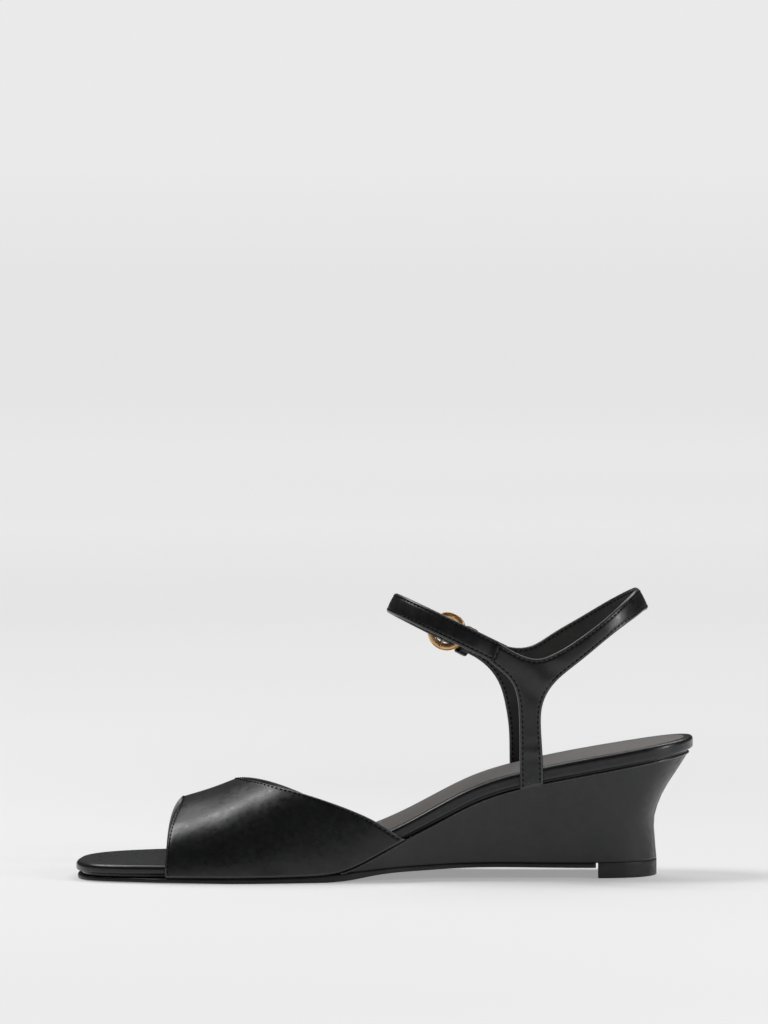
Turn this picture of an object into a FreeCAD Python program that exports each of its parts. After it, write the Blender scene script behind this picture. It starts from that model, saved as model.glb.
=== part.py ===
import FreeCAD, Part
import math
import os

# Women's open-toe wedge sandal, right foot, size 37-38, in millimetres.
# +X points to the heel, -X to the toe, +Y to the outer (buckle) side, +Z up.
# The origin is on the ground below the middle of the sandal.

V = FreeCAD.Vector
os.makedirs("parts", exist_ok=True)

# ---------------------------------------------------------------- dimensions
HALF_DEPTH = 80.0            # how far every side-view cutter reaches in Y
FAR_X = 130.0                # how far the layer curves reach in X

MARGIN_THICKNESS = 1.3       # lasted leather edge between footbed and sole
BOARD_THICKNESS = 1.6
WRAP_THICKNESS = 1.2
SOCK_THICKNESS = 1.2
SOCK_INSET = 3.6
SOCK_FRONT_X = -72.0
MARGIN_WIDTH = 10.0
MARGIN_RECESS = 1.6
WEDGE_TIP_X = -17.3
WEDGE_COVER = 1.0
HEEL_BREAST_X = 82.7         # front of the heel top lift
LIFT_TOP_Z = 6.2

VAMP_OUTER = 1.1
VAMP_TAPE = 0.3
VAMP_LINING = 0.8
VAMP_THICKNESS = VAMP_OUTER + VAMP_TAPE + VAMP_LINING
VAMP_FRONT_X = -84.3
VAMP_REAR_X = 8.4
VAMP_LID_Z = 75.0            # above everything, to close the vamp's side view

STRAP_THICKNESS = 1.8
STRAP_HALF_WIDTH = 4.1
STRAP_LINING = 0.7
STRAP_TAPE = 0.3

# The front strap lies in one tilted plane, z = PLANE_Z - PLANE_MX*x - PLANE_MY*y
PLANE_Z = 107.3
PLANE_MX = 0.493
PLANE_MY = 0.104
STRAP_SEAM_X = 42.6          # where the front strap is sewn to the collar on the inner side
SEAM_GAP = 0.15

LEG_AXIS_MEDIAL = V(57.0, -28.6, 47.5)
LEG_AXIS_LATERAL = V(53.4, 31.0, 47.5)
LEG_HALF_WIDTH = 4.5
FLEX_GAP = 0.3

RING_RADIUS = 6.6
RING_WIRE = 0.95
RING_TILT = 30.0
BAR_RADIUS = 0.7
BAR_DEPTH = 0.5              # how far the bar sits inside the strap's middle
PIN_CLEARANCE = 0.06
PRONG_RADIUS = 0.65
BUCKLE_X = 24.3
KEEPER_X = 32.4
KEEPER_WIDTH = 3.5
KEEPER_LEATHER = 0.9
FOLD_LEATHER = 0.9
PLY_LEATHER = 0.6
PLY_LENGTH = 5.0
PLY_GAP = 0.65               # the inner face of the arm curves towards the ply
FOLD_RADIUS = BAR_RADIUS + PIN_CLEARANCE + FOLD_LEATHER
FOLD_HALF_WIDTH = 3.7
PRONG_GAP = 1.5
RING_SIN = math.sin(math.radians(RING_TILT))
RING_COS = math.cos(math.radians(RING_TILT))

TAIL_RISE = FOLD_RADIUS - BAR_DEPTH + STRAP_THICKNESS / 2 + 0.12
TAIL_LENGTH = 20.0
HOLE_PITCH = 6.4
HOLE_RADIUS = 1.0
STRAP_SLOPE = 0.81           # side-view distance for each mm along the strap near the buckle
# How far the strap's middle stands outside the loop's surface: (distance ahead of the bar, rise).
STRAP_RISE = [(-40.0, TAIL_RISE), (-0.2, TAIL_RISE), (1.4, 1.75), (2.8, 0.75), (4.2, 0.0), (6.0, -0.15),
              (9.0, 0.0)]

SHANK_THICKNESS = 1.2
SHANK_HALF_WIDTH = 5.5
SHANK_FRONT_X = 4.0
SHANK_REAR_X = 90.0
RIVET_RADIUS = 1.6
RIVET_HEAD_RADIUS = 2.4
RIVET_HEAD = 0.9
NAIL_PLACES = [(94.0, 11.0), (94.0, -11.0), (103.0, 8.0), (103.0, -8.0)]
NAIL_RADIUS = 1.0
NAIL_LENGTH = 15.0
NAIL_HEAD_RADIUS = 2.4
NAIL_HEAD = 0.9
PIN_PLACES = [(88.0, 10.0), (88.0, -9.0), (100.0, 0.5)]
PIN_RADIUS = 1.2
PIN_LENGTH = 15.0
PIN_LOW_Z = 1.6

# ---------------------------------------------------------------- outlines
# Edge of the footbed seen from above, counter-clockwise from the heel.
FOOTBED = [
    (120.0, 0.0), (117.8, 11.0), (110.5, 20.5), (97.0, 26.5), (75.0, 28.3),
    (50.0, 28.8), (25.0, 30.6), (0.0, 34.4), (-25.0, 39.2), (-45.0, 41.6),
    (-63.0, 41.0), (-82.0, 36.6), (-98.0, 30.0), (-109.0, 21.6), (-115.6, 11.0),
    (-118.6, -3.0), (-119.2, -18.0), (-115.6, -29.4), (-105.0, -36.4), (-85.0, -40.2),
    (-63.0, -41.6), (-45.0, -40.4), (-25.0, -36.6), (0.0, -31.0), (25.0, -27.4),
    (50.0, -26.5), (75.0, -27.0), (97.0, -25.6), (110.5, -20.2), (117.8, -11.0)]

# Underside of the footbed: along the sole, then up over the wedge.
SOLE_LINE_FRONT = [(-FAR_X, 2.0), (-90.0, 2.0), (-50.0, 2.0), (-30.0, 2.3), (WEDGE_TIP_X, 3.6)]
SOLE_LINE_REAR = [(WEDGE_TIP_X, 3.6), (-6.0, 8.2), (8.0, 15.8), (20.7, 22.4), (36.3, 30.2), (48.0, 34.2),
                  (61.7, 37.3), (80.4, 40.8), (100.2, 44.5), (119.0, 48.2), (FAR_X, 50.4)]
SOLE_LINE_SLOPE = V(1.0, 0.0, 0.25)
FOOTBED_TOP = [(-FAR_X, 6.8), (-95.0, 6.8), (-60.0, 6.8), (-40.0, 7.6), (-20.0, 11.6), (-5.0, 16.6),
               (8.0, 22.4), (20.7, 29.2), (36.3, 36.8), (52.8, 41.8), (61.4, 43.8), (76.4, 46.8),
               (92.3, 49.6), (108.1, 52.4), (FAR_X, 56.2)]
OUTSOLE_TOP_REAR = [(WEDGE_TIP_X, 3.2), (-2.9, 4.6), (14.0, 5.6), (30.0, 6.2)]
OUTSOLE_BOTTOM_REAR = [(-22.0, 0.0), (-12.0, 0.9), (-2.9, 2.4), (14.0, 3.6), (30.0, 4.3)]

# Rear profile of the wedge, (z, x).
WEDGE_BACK = [(0.0, 106.4), (6.0, 106.0), (11.1, 105.5), (16.5, 105.1), (20.8, 104.9), (24.1, 105.4),
              (27.9, 106.6), (33.4, 109.1), (39.8, 113.2), (48.2, 118.4), (56.0, 122.4)]
WEDGE_LEVELS = [1.0, 6.0, 11.0, 16.0, 21.0, 26.5, 33.0, 40.0, 48.0, 56.0]
WEDGE_STATIONS = [-30.0, -12.0, 6.0, 25.0, 45.0, 65.0, 83.0, 97.0, 108.0, 115.5]

# Side view of the vamp's front and rear edges, (x, z).
VAMP_FRONT_EDGE = [(-84.3, -2.0), (-84.9, 7.0), (-84.4, 12.5), (-83.2, 19.0), (-80.4, 26.0),
                   (-75.4, 31.4), (-70.0, 36.0)]
VAMP_REAR_EDGE = [(-66.0, 34.3), (-61.6, 35.4), (-57.6, 36.4), (-53.5, 37.0), (-49.7, 37.1), (-40.4, 35.8),
                  (-31.1, 33.8), (-21.7, 31.0), (-12.4, 27.6), (-3.1, 23.2), (5.4, 17.8), (12.0, 12.0)]
VAMP_REAR_EDGE_OUTER = [(-66.0, 34.3), (-61.6, 35.3), (-57.5, 35.9), (-51.5, 35.2), (-43.5, 32.9),
                        (-35.0, 29.6), (-26.5, 25.6), (-17.6, 21.2), (-8.6, 16.6), (-1.0, 12.0), (4.0, 8.0)]
VAMP_CREST = [(-92.0, 24.4), (-84.0, 27.9), (-76.0, 30.5), (-66.0, 33.6), (-57.6, 36.9), (-45.0, 42.0),
              (-30.0, 48.5), (-12.0, 56.5), (6.0, 64.0), (18.0, 68.0)]
VAMP_ROUNDNESS = 0.86

# Ankle loop seen from above at LOOP_Z, counter-clockwise from the back.
LOOP_Z = 104.0
LOOP_MIDDLE_X = 51.5
LOOP_LEAN = 0.0100           # the loop's length shrinks by this share for each mm of height
LOOP = [(101.6, 0.0), (98.2, 10.4), (89.0, 19.6), (75.0, 26.2), (62.0, 30.0), (50.0, 31.0),
        (38.0, 28.6), (26.5, 23.4), (14.5, 16.8), (6.0, 9.4), (2.6, 0.0), (5.4, -9.0),
        (13.0, -17.0), (24.0, -23.4), (37.0, -27.4), (50.0, -28.8), (62.0, -28.4),
        (75.0, -25.8), (89.0, -19.4), (98.2, -10.2)]

# Side view of the two Y-shaped sides of the ankle collar, (x, z).
MEDIAL_TOP = [(44.4, 92.6), (50.0, 89.2), (55.0, 87.0), (59.8, 86.2), (65.0, 87.8), (75.0, 93.4),
              (87.0, 101.8), (98.9, 110.9), (106.0, 116.0)]
MEDIAL_BACK = [(106.0, 106.4), (101.9, 103.8), (91.8, 97.4), (74.9, 84.3), (64.6, 75.0),
               (61.5, 68.6), (60.8, 60.0), (61.5, 47.5)]
MEDIAL_FRONT = [(52.5, 47.5), (52.3, 63.6), (51.4, 72.0), (49.4, 77.2), (45.4, 81.4), (40.9, 85.0)]
LATERAL_TOP = [(22.0, 98.6), (30.0, 94.4), (36.0, 91.2), (43.9, 87.8), (51.0, 85.8), (57.0, 86.4),
               (65.0, 91.0), (75.0, 97.0), (87.0, 104.0), (98.9, 110.9), (106.0, 115.4)]
LATERAL_BACK = [(106.0, 106.4), (101.9, 103.8), (91.0, 96.9), (73.5, 84.0), (62.0, 74.4),
                (58.6, 67.6), (57.6, 59.0), (57.9, 47.5)]
LATERAL_FRONT = [(48.9, 47.5), (48.6, 55.0), (47.4, 63.0), (45.6, 70.0), (42.8, 75.4), (38.6, 79.9),
                 (30.0, 85.3), (22.0, 89.5)]


# ---------------------------------------------------------------- helpers
def save(name, shape):
    """Write one sub-part; several separate pieces stay separate solids."""
    solids = shape.Solids
    result = solids[0] if len(solids) == 1 else Part.makeCompound(solids)
    result.exportStep("parts/" + name + ".step")


def merged(shape, *others):
    """Fuse the shapes and drop the seams between them."""
    return shape.fuse(list(others)).removeSplitter()


def xz(points):
    return [V(x, -HALF_DEPTH, z) for x, z in points]


def spline(points, start=None, end=None):
    """A smooth open curve through the points."""
    curve = Part.BSplineCurve()
    if start is None:
        curve.interpolate(points)
    else:
        curve.interpolate(Points=points, InitialTangent=start, FinalTangent=end)
    return curve.toShape()


def closed_spline(points):
    curve = Part.BSplineCurve()
    curve.interpolate(Points=points, PeriodicFlag=True)
    return curve


def line(a, b):
    return Part.makeLine(a, b)


def chain(edges):
    """Join curves end to end into one closed wire, with straight lines over the gaps."""
    ends = [(e.valueAt(e.FirstParameter), e.valueAt(e.LastParameter)) for e in edges]
    closed = []
    for i, edge in enumerate(edges):
        closed.append(edge)
        here, there = ends[i][1], ends[(i + 1) % len(edges)][0]
        if here.distanceToPoint(there) > 1e-6:
            closed.append(line(here, there))
    return Part.Wire(Part.__sortEdges__(closed))


def through(edges, y_from=-HALF_DEPTH, y_to=HALF_DEPTH):
    """A side-view outline carried across the sandal in Y."""
    face = Part.Face(chain(edges))
    face.translate(V(0, y_from + HALF_DEPTH, 0))
    return face.extrude(V(0, y_to - y_from, 0))


def lifted(edges, dz):
    moved = [edge.copy() for edge in edges]
    for edge in moved:
        edge.translate(V(0, 0, dz))
    return moved


def reverse(points):
    return list(reversed(points))


def slab(lower, upper):
    """Everything between two side-view curves that both run from toe to heel."""
    low_end = lower[-1].valueAt(lower[-1].LastParameter)
    low_start = lower[0].valueAt(lower[0].FirstParameter)
    up_end = upper[-1].valueAt(upper[-1].LastParameter)
    up_start = upper[0].valueAt(upper[0].FirstParameter)
    edges = lower + [line(low_end, up_end)] + upper + [line(up_start, low_start)]
    face = Part.Face(Part.Wire(Part.__sortEdges__(edges)))
    return face.extrude(V(0, 2 * HALF_DEPTH, 0))


def between(table, value):
    """Read a table of (input, output) pairs, in a straight line between rows."""
    if value <= table[0][0]:
        return table[0][1]
    for (a, fa), (b, fb) in zip(table, table[1:]):
        if value <= b:
            return fa + (fb - fa) * (value - a) / (b - a)
    return table[-1][1]


def moved_outward(points, offset):
    """Shift a counter-clockwise outline; offset is a number or a function of x."""
    shifted = []
    for i, (x, y) in enumerate(points):
        (xa, ya), (xb, yb) = points[i - 1], points[(i + 1) % len(points)]
        length = math.hypot(xb - xa, yb - ya)
        d = offset(x) if callable(offset) else offset
        shifted.append((x + d * (yb - ya) / length, y - d * (xb - xa) / length))
    return shifted


def prism(points, z_from=-5.0, z_to=80.0):
    """A vertical block with the given outline."""
    curve = closed_spline([V(x, y, z_from) for x, y in points])
    return Part.Face(Part.Wire([curve.toShape()])).extrude(V(0, 0, z_to - z_from))


def block(x0, x1, y0, y1, z0, z1):
    return Part.makeBox(x1 - x0, y1 - y0, z1 - z0, V(x0, y0, z0))


def side_y(curve, x, side):
    """Y of a closed outline at x, on the side +1 (outer) or -1 (inner)."""
    first, last = curve.FirstParameter, curve.LastParameter
    steps = 720
    best = None
    previous = curve.value(first)
    for i in range(1, steps + 1):
        point = curve.value(first + (last - first) * i / steps)
        crosses = (previous.x - x) * (point.x - x) <= 0 and previous.x != point.x
        if crosses and (previous.y + point.y) * side > 0:
            share = (x - previous.x) / (point.x - previous.x)
            best = previous.y + (point.y - previous.y) * share
        previous = point
    return best


# ---------------------------------------------------------------- sole curves
SOLE_FRONT = spline(xz(SOLE_LINE_FRONT), V(1, 0, 0), SOLE_LINE_SLOPE)
SOLE_REAR = spline(xz(SOLE_LINE_REAR), SOLE_LINE_SLOPE, V(1, 0, 0.2))
SOLE_LINE = [SOLE_FRONT, SOLE_REAR]
MARGIN_LINE = lifted(SOLE_LINE, MARGIN_THICKNESS)
BOARD_LINE = lifted(SOLE_LINE, MARGIN_THICKNESS + BOARD_THICKNESS)
TOP_LINE = [spline(xz(FOOTBED_TOP))]
ABOVE_SOLE = slab(SOLE_LINE, [line(V(-FAR_X, -HALF_DEPTH, 150), V(FAR_X, -HALF_DEPTH, 150))])


def sole_z(x):
    """Height of the sole line, for shaping the wedge and the vamp."""
    return between(SOLE_LINE_FRONT + SOLE_LINE_REAR[1:], x)


def sole_flare(x):
    """How far the sole and the wedge stand out from the footbed's edge."""
    return between([(-100.0, 1.0), (-84.0, VAMP_THICKNESS), (0.0, VAMP_THICKNESS), (26.0, -0.8)], x)


FOOTBED_CURVE = closed_spline([V(x, y, 0) for x, y in FOOTBED])
FLARED = moved_outward(FOOTBED, sole_flare)
FLARED_CURVE = closed_spline([V(x, y, 0) for x, y in FLARED])


# ---------------------------------------------------------------- wedge
def wedge_taper(x, z):
    drop = max(0.0, sole_z(x) - z) / 42.0
    return 1.0 - 0.26 * min(1.0, drop) ** 0.8


def wedge_section(z, inset):
    """The wedge's outline at one height, open straight across its front."""
    back = between(WEDGE_BACK, z) - inset
    outer, inner = [], []
    for x in WEDGE_STATIONS:
        pull = max(0.0, (x - 40.0) / 78.4) ** 1.5
        moved_x = x - (118.4 - back) * pull
        for side, row in ((1, outer), (-1, inner)):
            y = abs(side_y(FLARED_CURVE, x, side)) * wedge_taper(x, z) - inset
            row.append(V(moved_x, side * y, z))
    curve = spline(outer + [V(back, 0, z)] + reverse(inner))
    return Part.Wire([curve, line(inner[0], outer[0])])


def wedge_body(inset):
    return Part.makeLoft([wedge_section(z, inset) for z in WEDGE_LEVELS], True, False)


def sole_and_wedge():
    """Outsole, wedge core and cover, heel top lift, shank and the nails between them."""
    top_rear = spline(xz(OUTSOLE_TOP_REAR), V(1, 0, 0.1), V(1, 0, 0))
    flat = line(V(30, -HALF_DEPTH, LIFT_TOP_Z), V(FAR_X, -HALF_DEPTH, LIFT_TOP_Z))
    wedge_low = [top_rear, flat]
    tip = WEDGE_TIP_X
    front_low = line(V(tip, -HALF_DEPTH, OUTSOLE_TOP_REAR[0][1]), V(tip, -HALF_DEPTH, SOLE_LINE_REAR[0][1]))
    far_side = line(V(FAR_X, -HALF_DEPTH, LIFT_TOP_Z), V(FAR_X, -HALF_DEPTH, SOLE_LINE_REAR[-1][1]))
    wedge_wire = Part.Wire(Part.__sortEdges__(wedge_low + [far_side, SOLE_REAR, front_low]))
    wedge_zone = Part.Face(wedge_wire).extrude(V(0, 2 * HALF_DEPTH, 0))
    outer = wedge_body(0.0)
    inner = wedge_body(WEDGE_COVER)
    wedge = outer.common(wedge_zone)
    core = inner.common(wedge_zone)
    cover = wedge.cut(inner)

    bottom_rear = spline(xz(OUTSOLE_BOTTOM_REAR), V(1, 0, 0), V(1, 0, 0))
    rear_x = HEEL_BREAST_X - 0.3
    low = [line(V(-FAR_X, -HALF_DEPTH, 0), V(-22, -HALF_DEPTH, 0)), bottom_rear,
           line(V(30, -HALF_DEPTH, 4.3), V(rear_x, -HALF_DEPTH, 4.3))]
    flat_top = line(V(30, -HALF_DEPTH, LIFT_TOP_Z), V(rear_x, -HALF_DEPTH, LIFT_TOP_Z))
    high = [SOLE_FRONT, front_low, top_rear, flat_top]
    ends = [line(V(-FAR_X, -HALF_DEPTH, 0), V(-FAR_X, -HALF_DEPTH, 2.0)),
            line(V(rear_x, -HALF_DEPTH, 4.3), V(rear_x, -HALF_DEPTH, LIFT_TOP_Z))]
    sole_wire = Part.Wire(Part.__sortEdges__(low + high + ends))
    sole_zone = Part.Face(sole_wire).extrude(V(0, 2 * HALF_DEPTH, 0))
    narrowed = [(x, y * wedge_taper(x, 5.0) if x > -20 else y) for x, y in FLARED]
    outsole = prism(narrowed).common(sole_zone)

    lift_face = Part.Face(wedge_section(LIFT_TOP_Z, 0.0))
    lift = lift_face.extrude(V(0, 0, -LIFT_TOP_Z)).common(block(HEEL_BREAST_X, FAR_X, -40, 40, -1, 20))
    return outsole, core, cover, lift


# ---------------------------------------------------------------- footbed
def footbed_layers(vamp_shell, anchors):
    """Board, foam, leather wrap, sock lining and the filler below them."""
    outline = prism(FOOTBED)
    inner_outline = prism(moved_outward(FOOTBED, -WRAP_THICKNESS))
    margin_outer = prism(moved_outward(FOOTBED, lambda x: -MARGIN_RECESS if x > 0 else -0.4))
    margin_inner = prism(moved_outward(FOOTBED, -MARGIN_WIDTH))
    margin_layer = slab(SOLE_LINE, MARGIN_LINE)
    body_layer = slab(MARGIN_LINE, TOP_LINE)
    core_layer = slab(BOARD_LINE, lifted(TOP_LINE, -WRAP_THICKNESS))
    sock_layer = slab(lifted(TOP_LINE, -SOCK_THICKNESS), TOP_LINE)

    filler = margin_inner.common(margin_layer)
    board = inner_outline.common(slab(MARGIN_LINE, BOARD_LINE))
    foam = inner_outline.common(core_layer)
    sock_outline = prism(moved_outward(FOOTBED, -SOCK_INSET))
    sock_zone = sock_outline.common(block(SOCK_FRONT_X, FAR_X, -60, 60, -5, 80))
    sock = sock_zone.common(sock_layer)

    margin = margin_outer.cut(margin_inner).common(margin_layer)
    margin = margin.cut(block(VAMP_FRONT_X, VAMP_REAR_X, -60, 60, -5, 40))
    below_wrap = inner_outline.common(slab(MARGIN_LINE, lifted(TOP_LINE, -WRAP_THICKNESS)))
    wrap = outline.common(body_layer).cut(below_wrap)
    wrap = wrap.cut(sock_zone.common(slab(lifted(TOP_LINE, -3.0), lifted(TOP_LINE, 3.0))))
    wrap = merged(wrap, margin).cut(vamp_shell)
    for anchor in anchors:
        wrap = wrap.cut(anchor)
        filler = filler.cut(anchor)
    return filler, board, foam, wrap, sock


# ---------------------------------------------------------------- vamp
def vamp_section(x, inset):
    """Arch across the forefoot at x, with its feet carried down past the sole line."""
    foot_z = sole_z(x)
    crest = between(VAMP_CREST, x) - inset
    left = abs(side_y(FOOTBED_CURVE, x, 1)) + VAMP_THICKNESS - inset
    right = abs(side_y(FOOTBED_CURVE, x, -1)) + VAMP_THICKNESS - inset
    steps = 12
    points = [V(x, left, foot_z - 4.0)]
    for i in range(steps + 1):
        angle = math.pi * i / steps
        across = abs(math.cos(angle)) ** VAMP_ROUNDNESS
        up = math.sin(angle) ** VAMP_ROUNDNESS if 0 < i < steps else 0.0
        y = left * across if i <= steps / 2 else -right * across
        points.append(V(x, y, foot_z + (crest - foot_z) * up))
    points.append(V(x, -right, foot_z - 4.0))
    return Part.Wire([spline(points), line(points[-1], points[0])])


def vamp_side(rear_edge, y_from, y_to):
    """Side view of one side of the vamp, carried across that side."""
    front_x, front_z = VAMP_FRONT_EDGE[-1]
    rear_x, _ = rear_edge[0]
    lid = line(V(front_x, -HALF_DEPTH, VAMP_LID_Z), V(rear_x, -HALF_DEPTH, VAMP_LID_Z))
    foot = line(V(rear_edge[-1][0], -HALF_DEPTH, -2.0), V(0.0, -HALF_DEPTH, -2.0))
    return through([spline(xz(VAMP_FRONT_EDGE)), lid, spline(xz(rear_edge)), foot], y_from, y_to)


def vamp_parts():
    """Outer leather with its lasted margins as separate strips, reinforcing tape and lining."""
    stations = [x for x, _ in VAMP_CREST]
    arches = [Part.makeLoft([vamp_section(x, inset) for x in stations], True, False)
              for inset in (0.0, VAMP_OUTER, VAMP_OUTER + VAMP_TAPE, VAMP_THICKNESS)]
    outline = vamp_side(VAMP_REAR_EDGE, -HALF_DEPTH, 0.0)
    outline = outline.fuse(vamp_side(VAMP_REAR_EDGE_OUTER, 0.0, HALF_DEPTH))
    skins = [merged(arch.common(outline)).common(ABOVE_SOLE) for arch in arches]
    above_margin = slab(MARGIN_LINE, [line(V(-FAR_X, -HALF_DEPTH, 150), V(FAR_X, -HALF_DEPTH, 150))])
    outer = skins[0].cut(arches[1])
    tape = skins[1].cut(arches[2]).common(above_margin)
    lining = skins[2].cut(arches[3]).common(above_margin)
    margin = prism(moved_outward(FOOTBED, VAMP_OUTER)).cut(prism(moved_outward(FOOTBED, -MARGIN_WIDTH)))
    margin = margin.common(slab(SOLE_LINE, MARGIN_LINE))
    margin = margin.common(block(VAMP_FRONT_X, VAMP_REAR_X, -60, 60, -5, 60))
    outer = Part.makeCompound(outer.Solids + margin.cut(outer).Solids)
    return outer, tape, lining, skins[0].cut(arches[3])


# ---------------------------------------------------------------- ankle loop
LOOP_CURVE = closed_spline([V(x, y, 0) for x, y in LOOP])


def lean(x, z):
    return LOOP_MIDDLE_X + (x - LOOP_MIDDLE_X) * (1.0 - LOOP_LEAN * (z - LOOP_Z))


def loop_body(offset):
    """The solid inside the ankle loop's surface, moved outward by offset."""
    points = moved_outward(LOOP, offset)
    wires = []
    for z in (30.0, 122.0):
        curve = closed_spline([V(lean(x, z), y, z) for x, y in points])
        wires.append(Part.Wire([curve.toShape()]))
    return Part.makeLoft(wires, True, True)


def on_strap_plane(x, y):
    """Where a point of the loop's plan meets the tilted plane of the front strap."""
    d = x - LOOP_MIDDLE_X
    factor = 1.0 - PLANE_MX * d * LOOP_LEAN
    z = (PLANE_Z - PLANE_MX * (LOOP_MIDDLE_X + d * (1.0 + LOOP_LEAN * LOOP_Z)) - PLANE_MY * y) / factor
    return V(lean(x, z), y, z)


WIDTH_AXIS = V(PLANE_MX, PLANE_MY, 1.0).normalize()


def strap_point(x, side):
    """The strap's middle at side-view x, and the directions forward and outward there."""
    def at(value):
        low, high = (0.0, 101.0)
        for _ in range(60):
            middle = (low + high) / 2
            if on_strap_plane(middle, side_y(LOOP_CURVE, max(2.7, middle), side)).x < value:
                low = middle
            else:
                high = middle
        return on_strap_plane(low, side_y(LOOP_CURVE, max(2.7, low), side))
    ahead, behind = at(x - 0.5), at(x + 0.5)
    forward = (ahead - behind).normalize()
    outward = forward.cross(WIDTH_AXIS).normalize() * side
    forward = WIDTH_AXIS.cross(outward) * side
    return at(x), forward, outward


def placed(shape, origin, forward, outward):
    """Move a shape drawn with x forward, y across the strap and z outward into place."""
    m = FreeCAD.Matrix(forward.x, WIDTH_AXIS.x, outward.x, origin.x,
                       forward.y, WIDTH_AXIS.y, outward.y, origin.y,
                       forward.z, WIDTH_AXIS.z, outward.z, origin.z, 0, 0, 0, 1)
    moved = shape.copy()
    moved.Placement = FreeCAD.Placement(m)
    return moved


BUCKLE = strap_point(BUCKLE_X, 1)
KEEPER = strap_point(KEEPER_X, 1)


def leg_axis():
    """Direction of the line through both legs that the collar flexes about."""
    return (LEG_AXIS_LATERAL - LEG_AXIS_MEDIAL).normalize()


def leg_rod(centre, radius):
    axis = leg_axis()
    return Part.makeCylinder(radius, 24.0, centre - axis * 12.0, axis)


def hinge_arc(centre, radius, first, last):
    """Half circle below a leg's pivot, in side view, from x first to x last."""
    y = -HALF_DEPTH
    return Part.Arc(V(first, y, centre.z), V(centre.x, y, centre.z - radius), V(last, y, centre.z)).toShape()


def collar_outline(top, back, front, centre):
    arc = hinge_arc(centre, LEG_HALF_WIDTH, back[-1][0], front[0][0])
    return [spline(xz(top)), spline(xz(back)), arc, spline(xz(front))]


def collar_zone():
    """Side views of the two Y-shaped sides, joined behind the heel."""
    medial = collar_outline(MEDIAL_TOP, MEDIAL_BACK, MEDIAL_FRONT, LEG_AXIS_MEDIAL)
    medial = through(medial, -HALF_DEPTH, 0.0)
    lateral = collar_outline(LATERAL_TOP, LATERAL_BACK, LATERAL_FRONT, LEG_AXIS_LATERAL)
    lateral = through(lateral, 0.0, HALF_DEPTH)
    ahead = Part.makeBox(60, 60, 60, V(0, -30, -30))
    medial = medial.cut(placed(ahead, *strap_point(STRAP_SEAM_X + SEAM_GAP, -1)))
    fold = placed(fold_rod(FOLD_RADIUS + SEAM_GAP, 60.0), *BUCKLE)
    return medial, lateral.cut(placed(ahead, *BUCKLE)).cut(fold)


def collar_parts():
    """Outer leather, tape and lining of the ankle collar, as one loop behind the heel."""
    half = STRAP_THICKNESS / 2
    shells = [loop_body(offset) for offset in (half, -half + STRAP_LINING + STRAP_TAPE,
                                               -half + STRAP_LINING, -half)]
    medial, lateral = collar_zone()
    parts = []
    for outer, inner in zip(shells, shells[1:]):
        skin = outer.cut(inner)
        parts.append(merged(skin.common(medial), skin.common(lateral)))
    return parts, shells


def leg_anchors(shells):
    """Lower end of each leg, over the footbed's edge and turned in under it."""
    anchors = []
    for centre, side in ((LEG_AXIS_MEDIAL, -1), (LEG_AXIS_LATERAL, 1)):
        x0, x1 = centre.x - LEG_HALF_WIDTH, centre.x + LEG_HALF_WIDTH
        y0, y1 = sorted((side * 50.0, side * 12.0))
        column = block(x0, x1, y0, y1, 20.0, centre.z)
        strip = shells[0].cut(shells[3]).common(column).common(ABOVE_SOLE)
        strip = strip.cut(leg_rod(centre, LEG_HALF_WIDTH + FLEX_GAP))
        tab_y0, tab_y1 = sorted((side * 17.0, side * (abs(centre.y) + STRAP_THICKNESS / 2 - 0.4)))
        tab = block(x0, x1, tab_y0, tab_y1, 20.0, 60.0).common(slab(SOLE_LINE, MARGIN_LINE))
        anchors.append(merged(strip, tab))
    return anchors


# ---------------------------------------------------------------- buckle
def fold_rod(radius, length):
    """A rod along the buckle bar, in the strap's own directions."""
    return Part.makeCylinder(radius, length, V(0, -length / 2, -BAR_DEPTH), V(0, 1, 0))


def buckle_fold():
    """Leather end turned around the bar and sewn back on the inside, slotted for the prong."""
    loop = fold_rod(FOLD_RADIUS, 2 * FOLD_HALF_WIDTH)
    ply = Part.makeBox(PLY_LENGTH, 2 * FOLD_HALF_WIDTH, PLY_LEATHER,
                       V(-PLY_LENGTH, -FOLD_HALF_WIDTH, -STRAP_THICKNESS / 2 - PLY_GAP - PLY_LEATHER))
    slot = Part.makeBox(6.0, 2 * PRONG_GAP, 8.0, V(-3.0, -PRONG_GAP, -4.0))
    shape = merged(loop, ply).cut(fold_rod(BAR_RADIUS + PIN_CLEARANCE, 20.0)).cut(slot)
    return shape


def buckle_ring():
    """Round ring with a straight bar across its middle, tilted over the strap."""
    centre = V(0, 0, -BAR_DEPTH)
    ring = Part.makeTorus(RING_RADIUS, RING_WIRE, centre, V(-RING_SIN, 0, RING_COS))
    bar = Part.makeCylinder(BAR_RADIUS, 2 * RING_RADIUS, V(0, -RING_RADIUS, -BAR_DEPTH), V(0, 1, 0))
    return merged(ring, bar)


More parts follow.
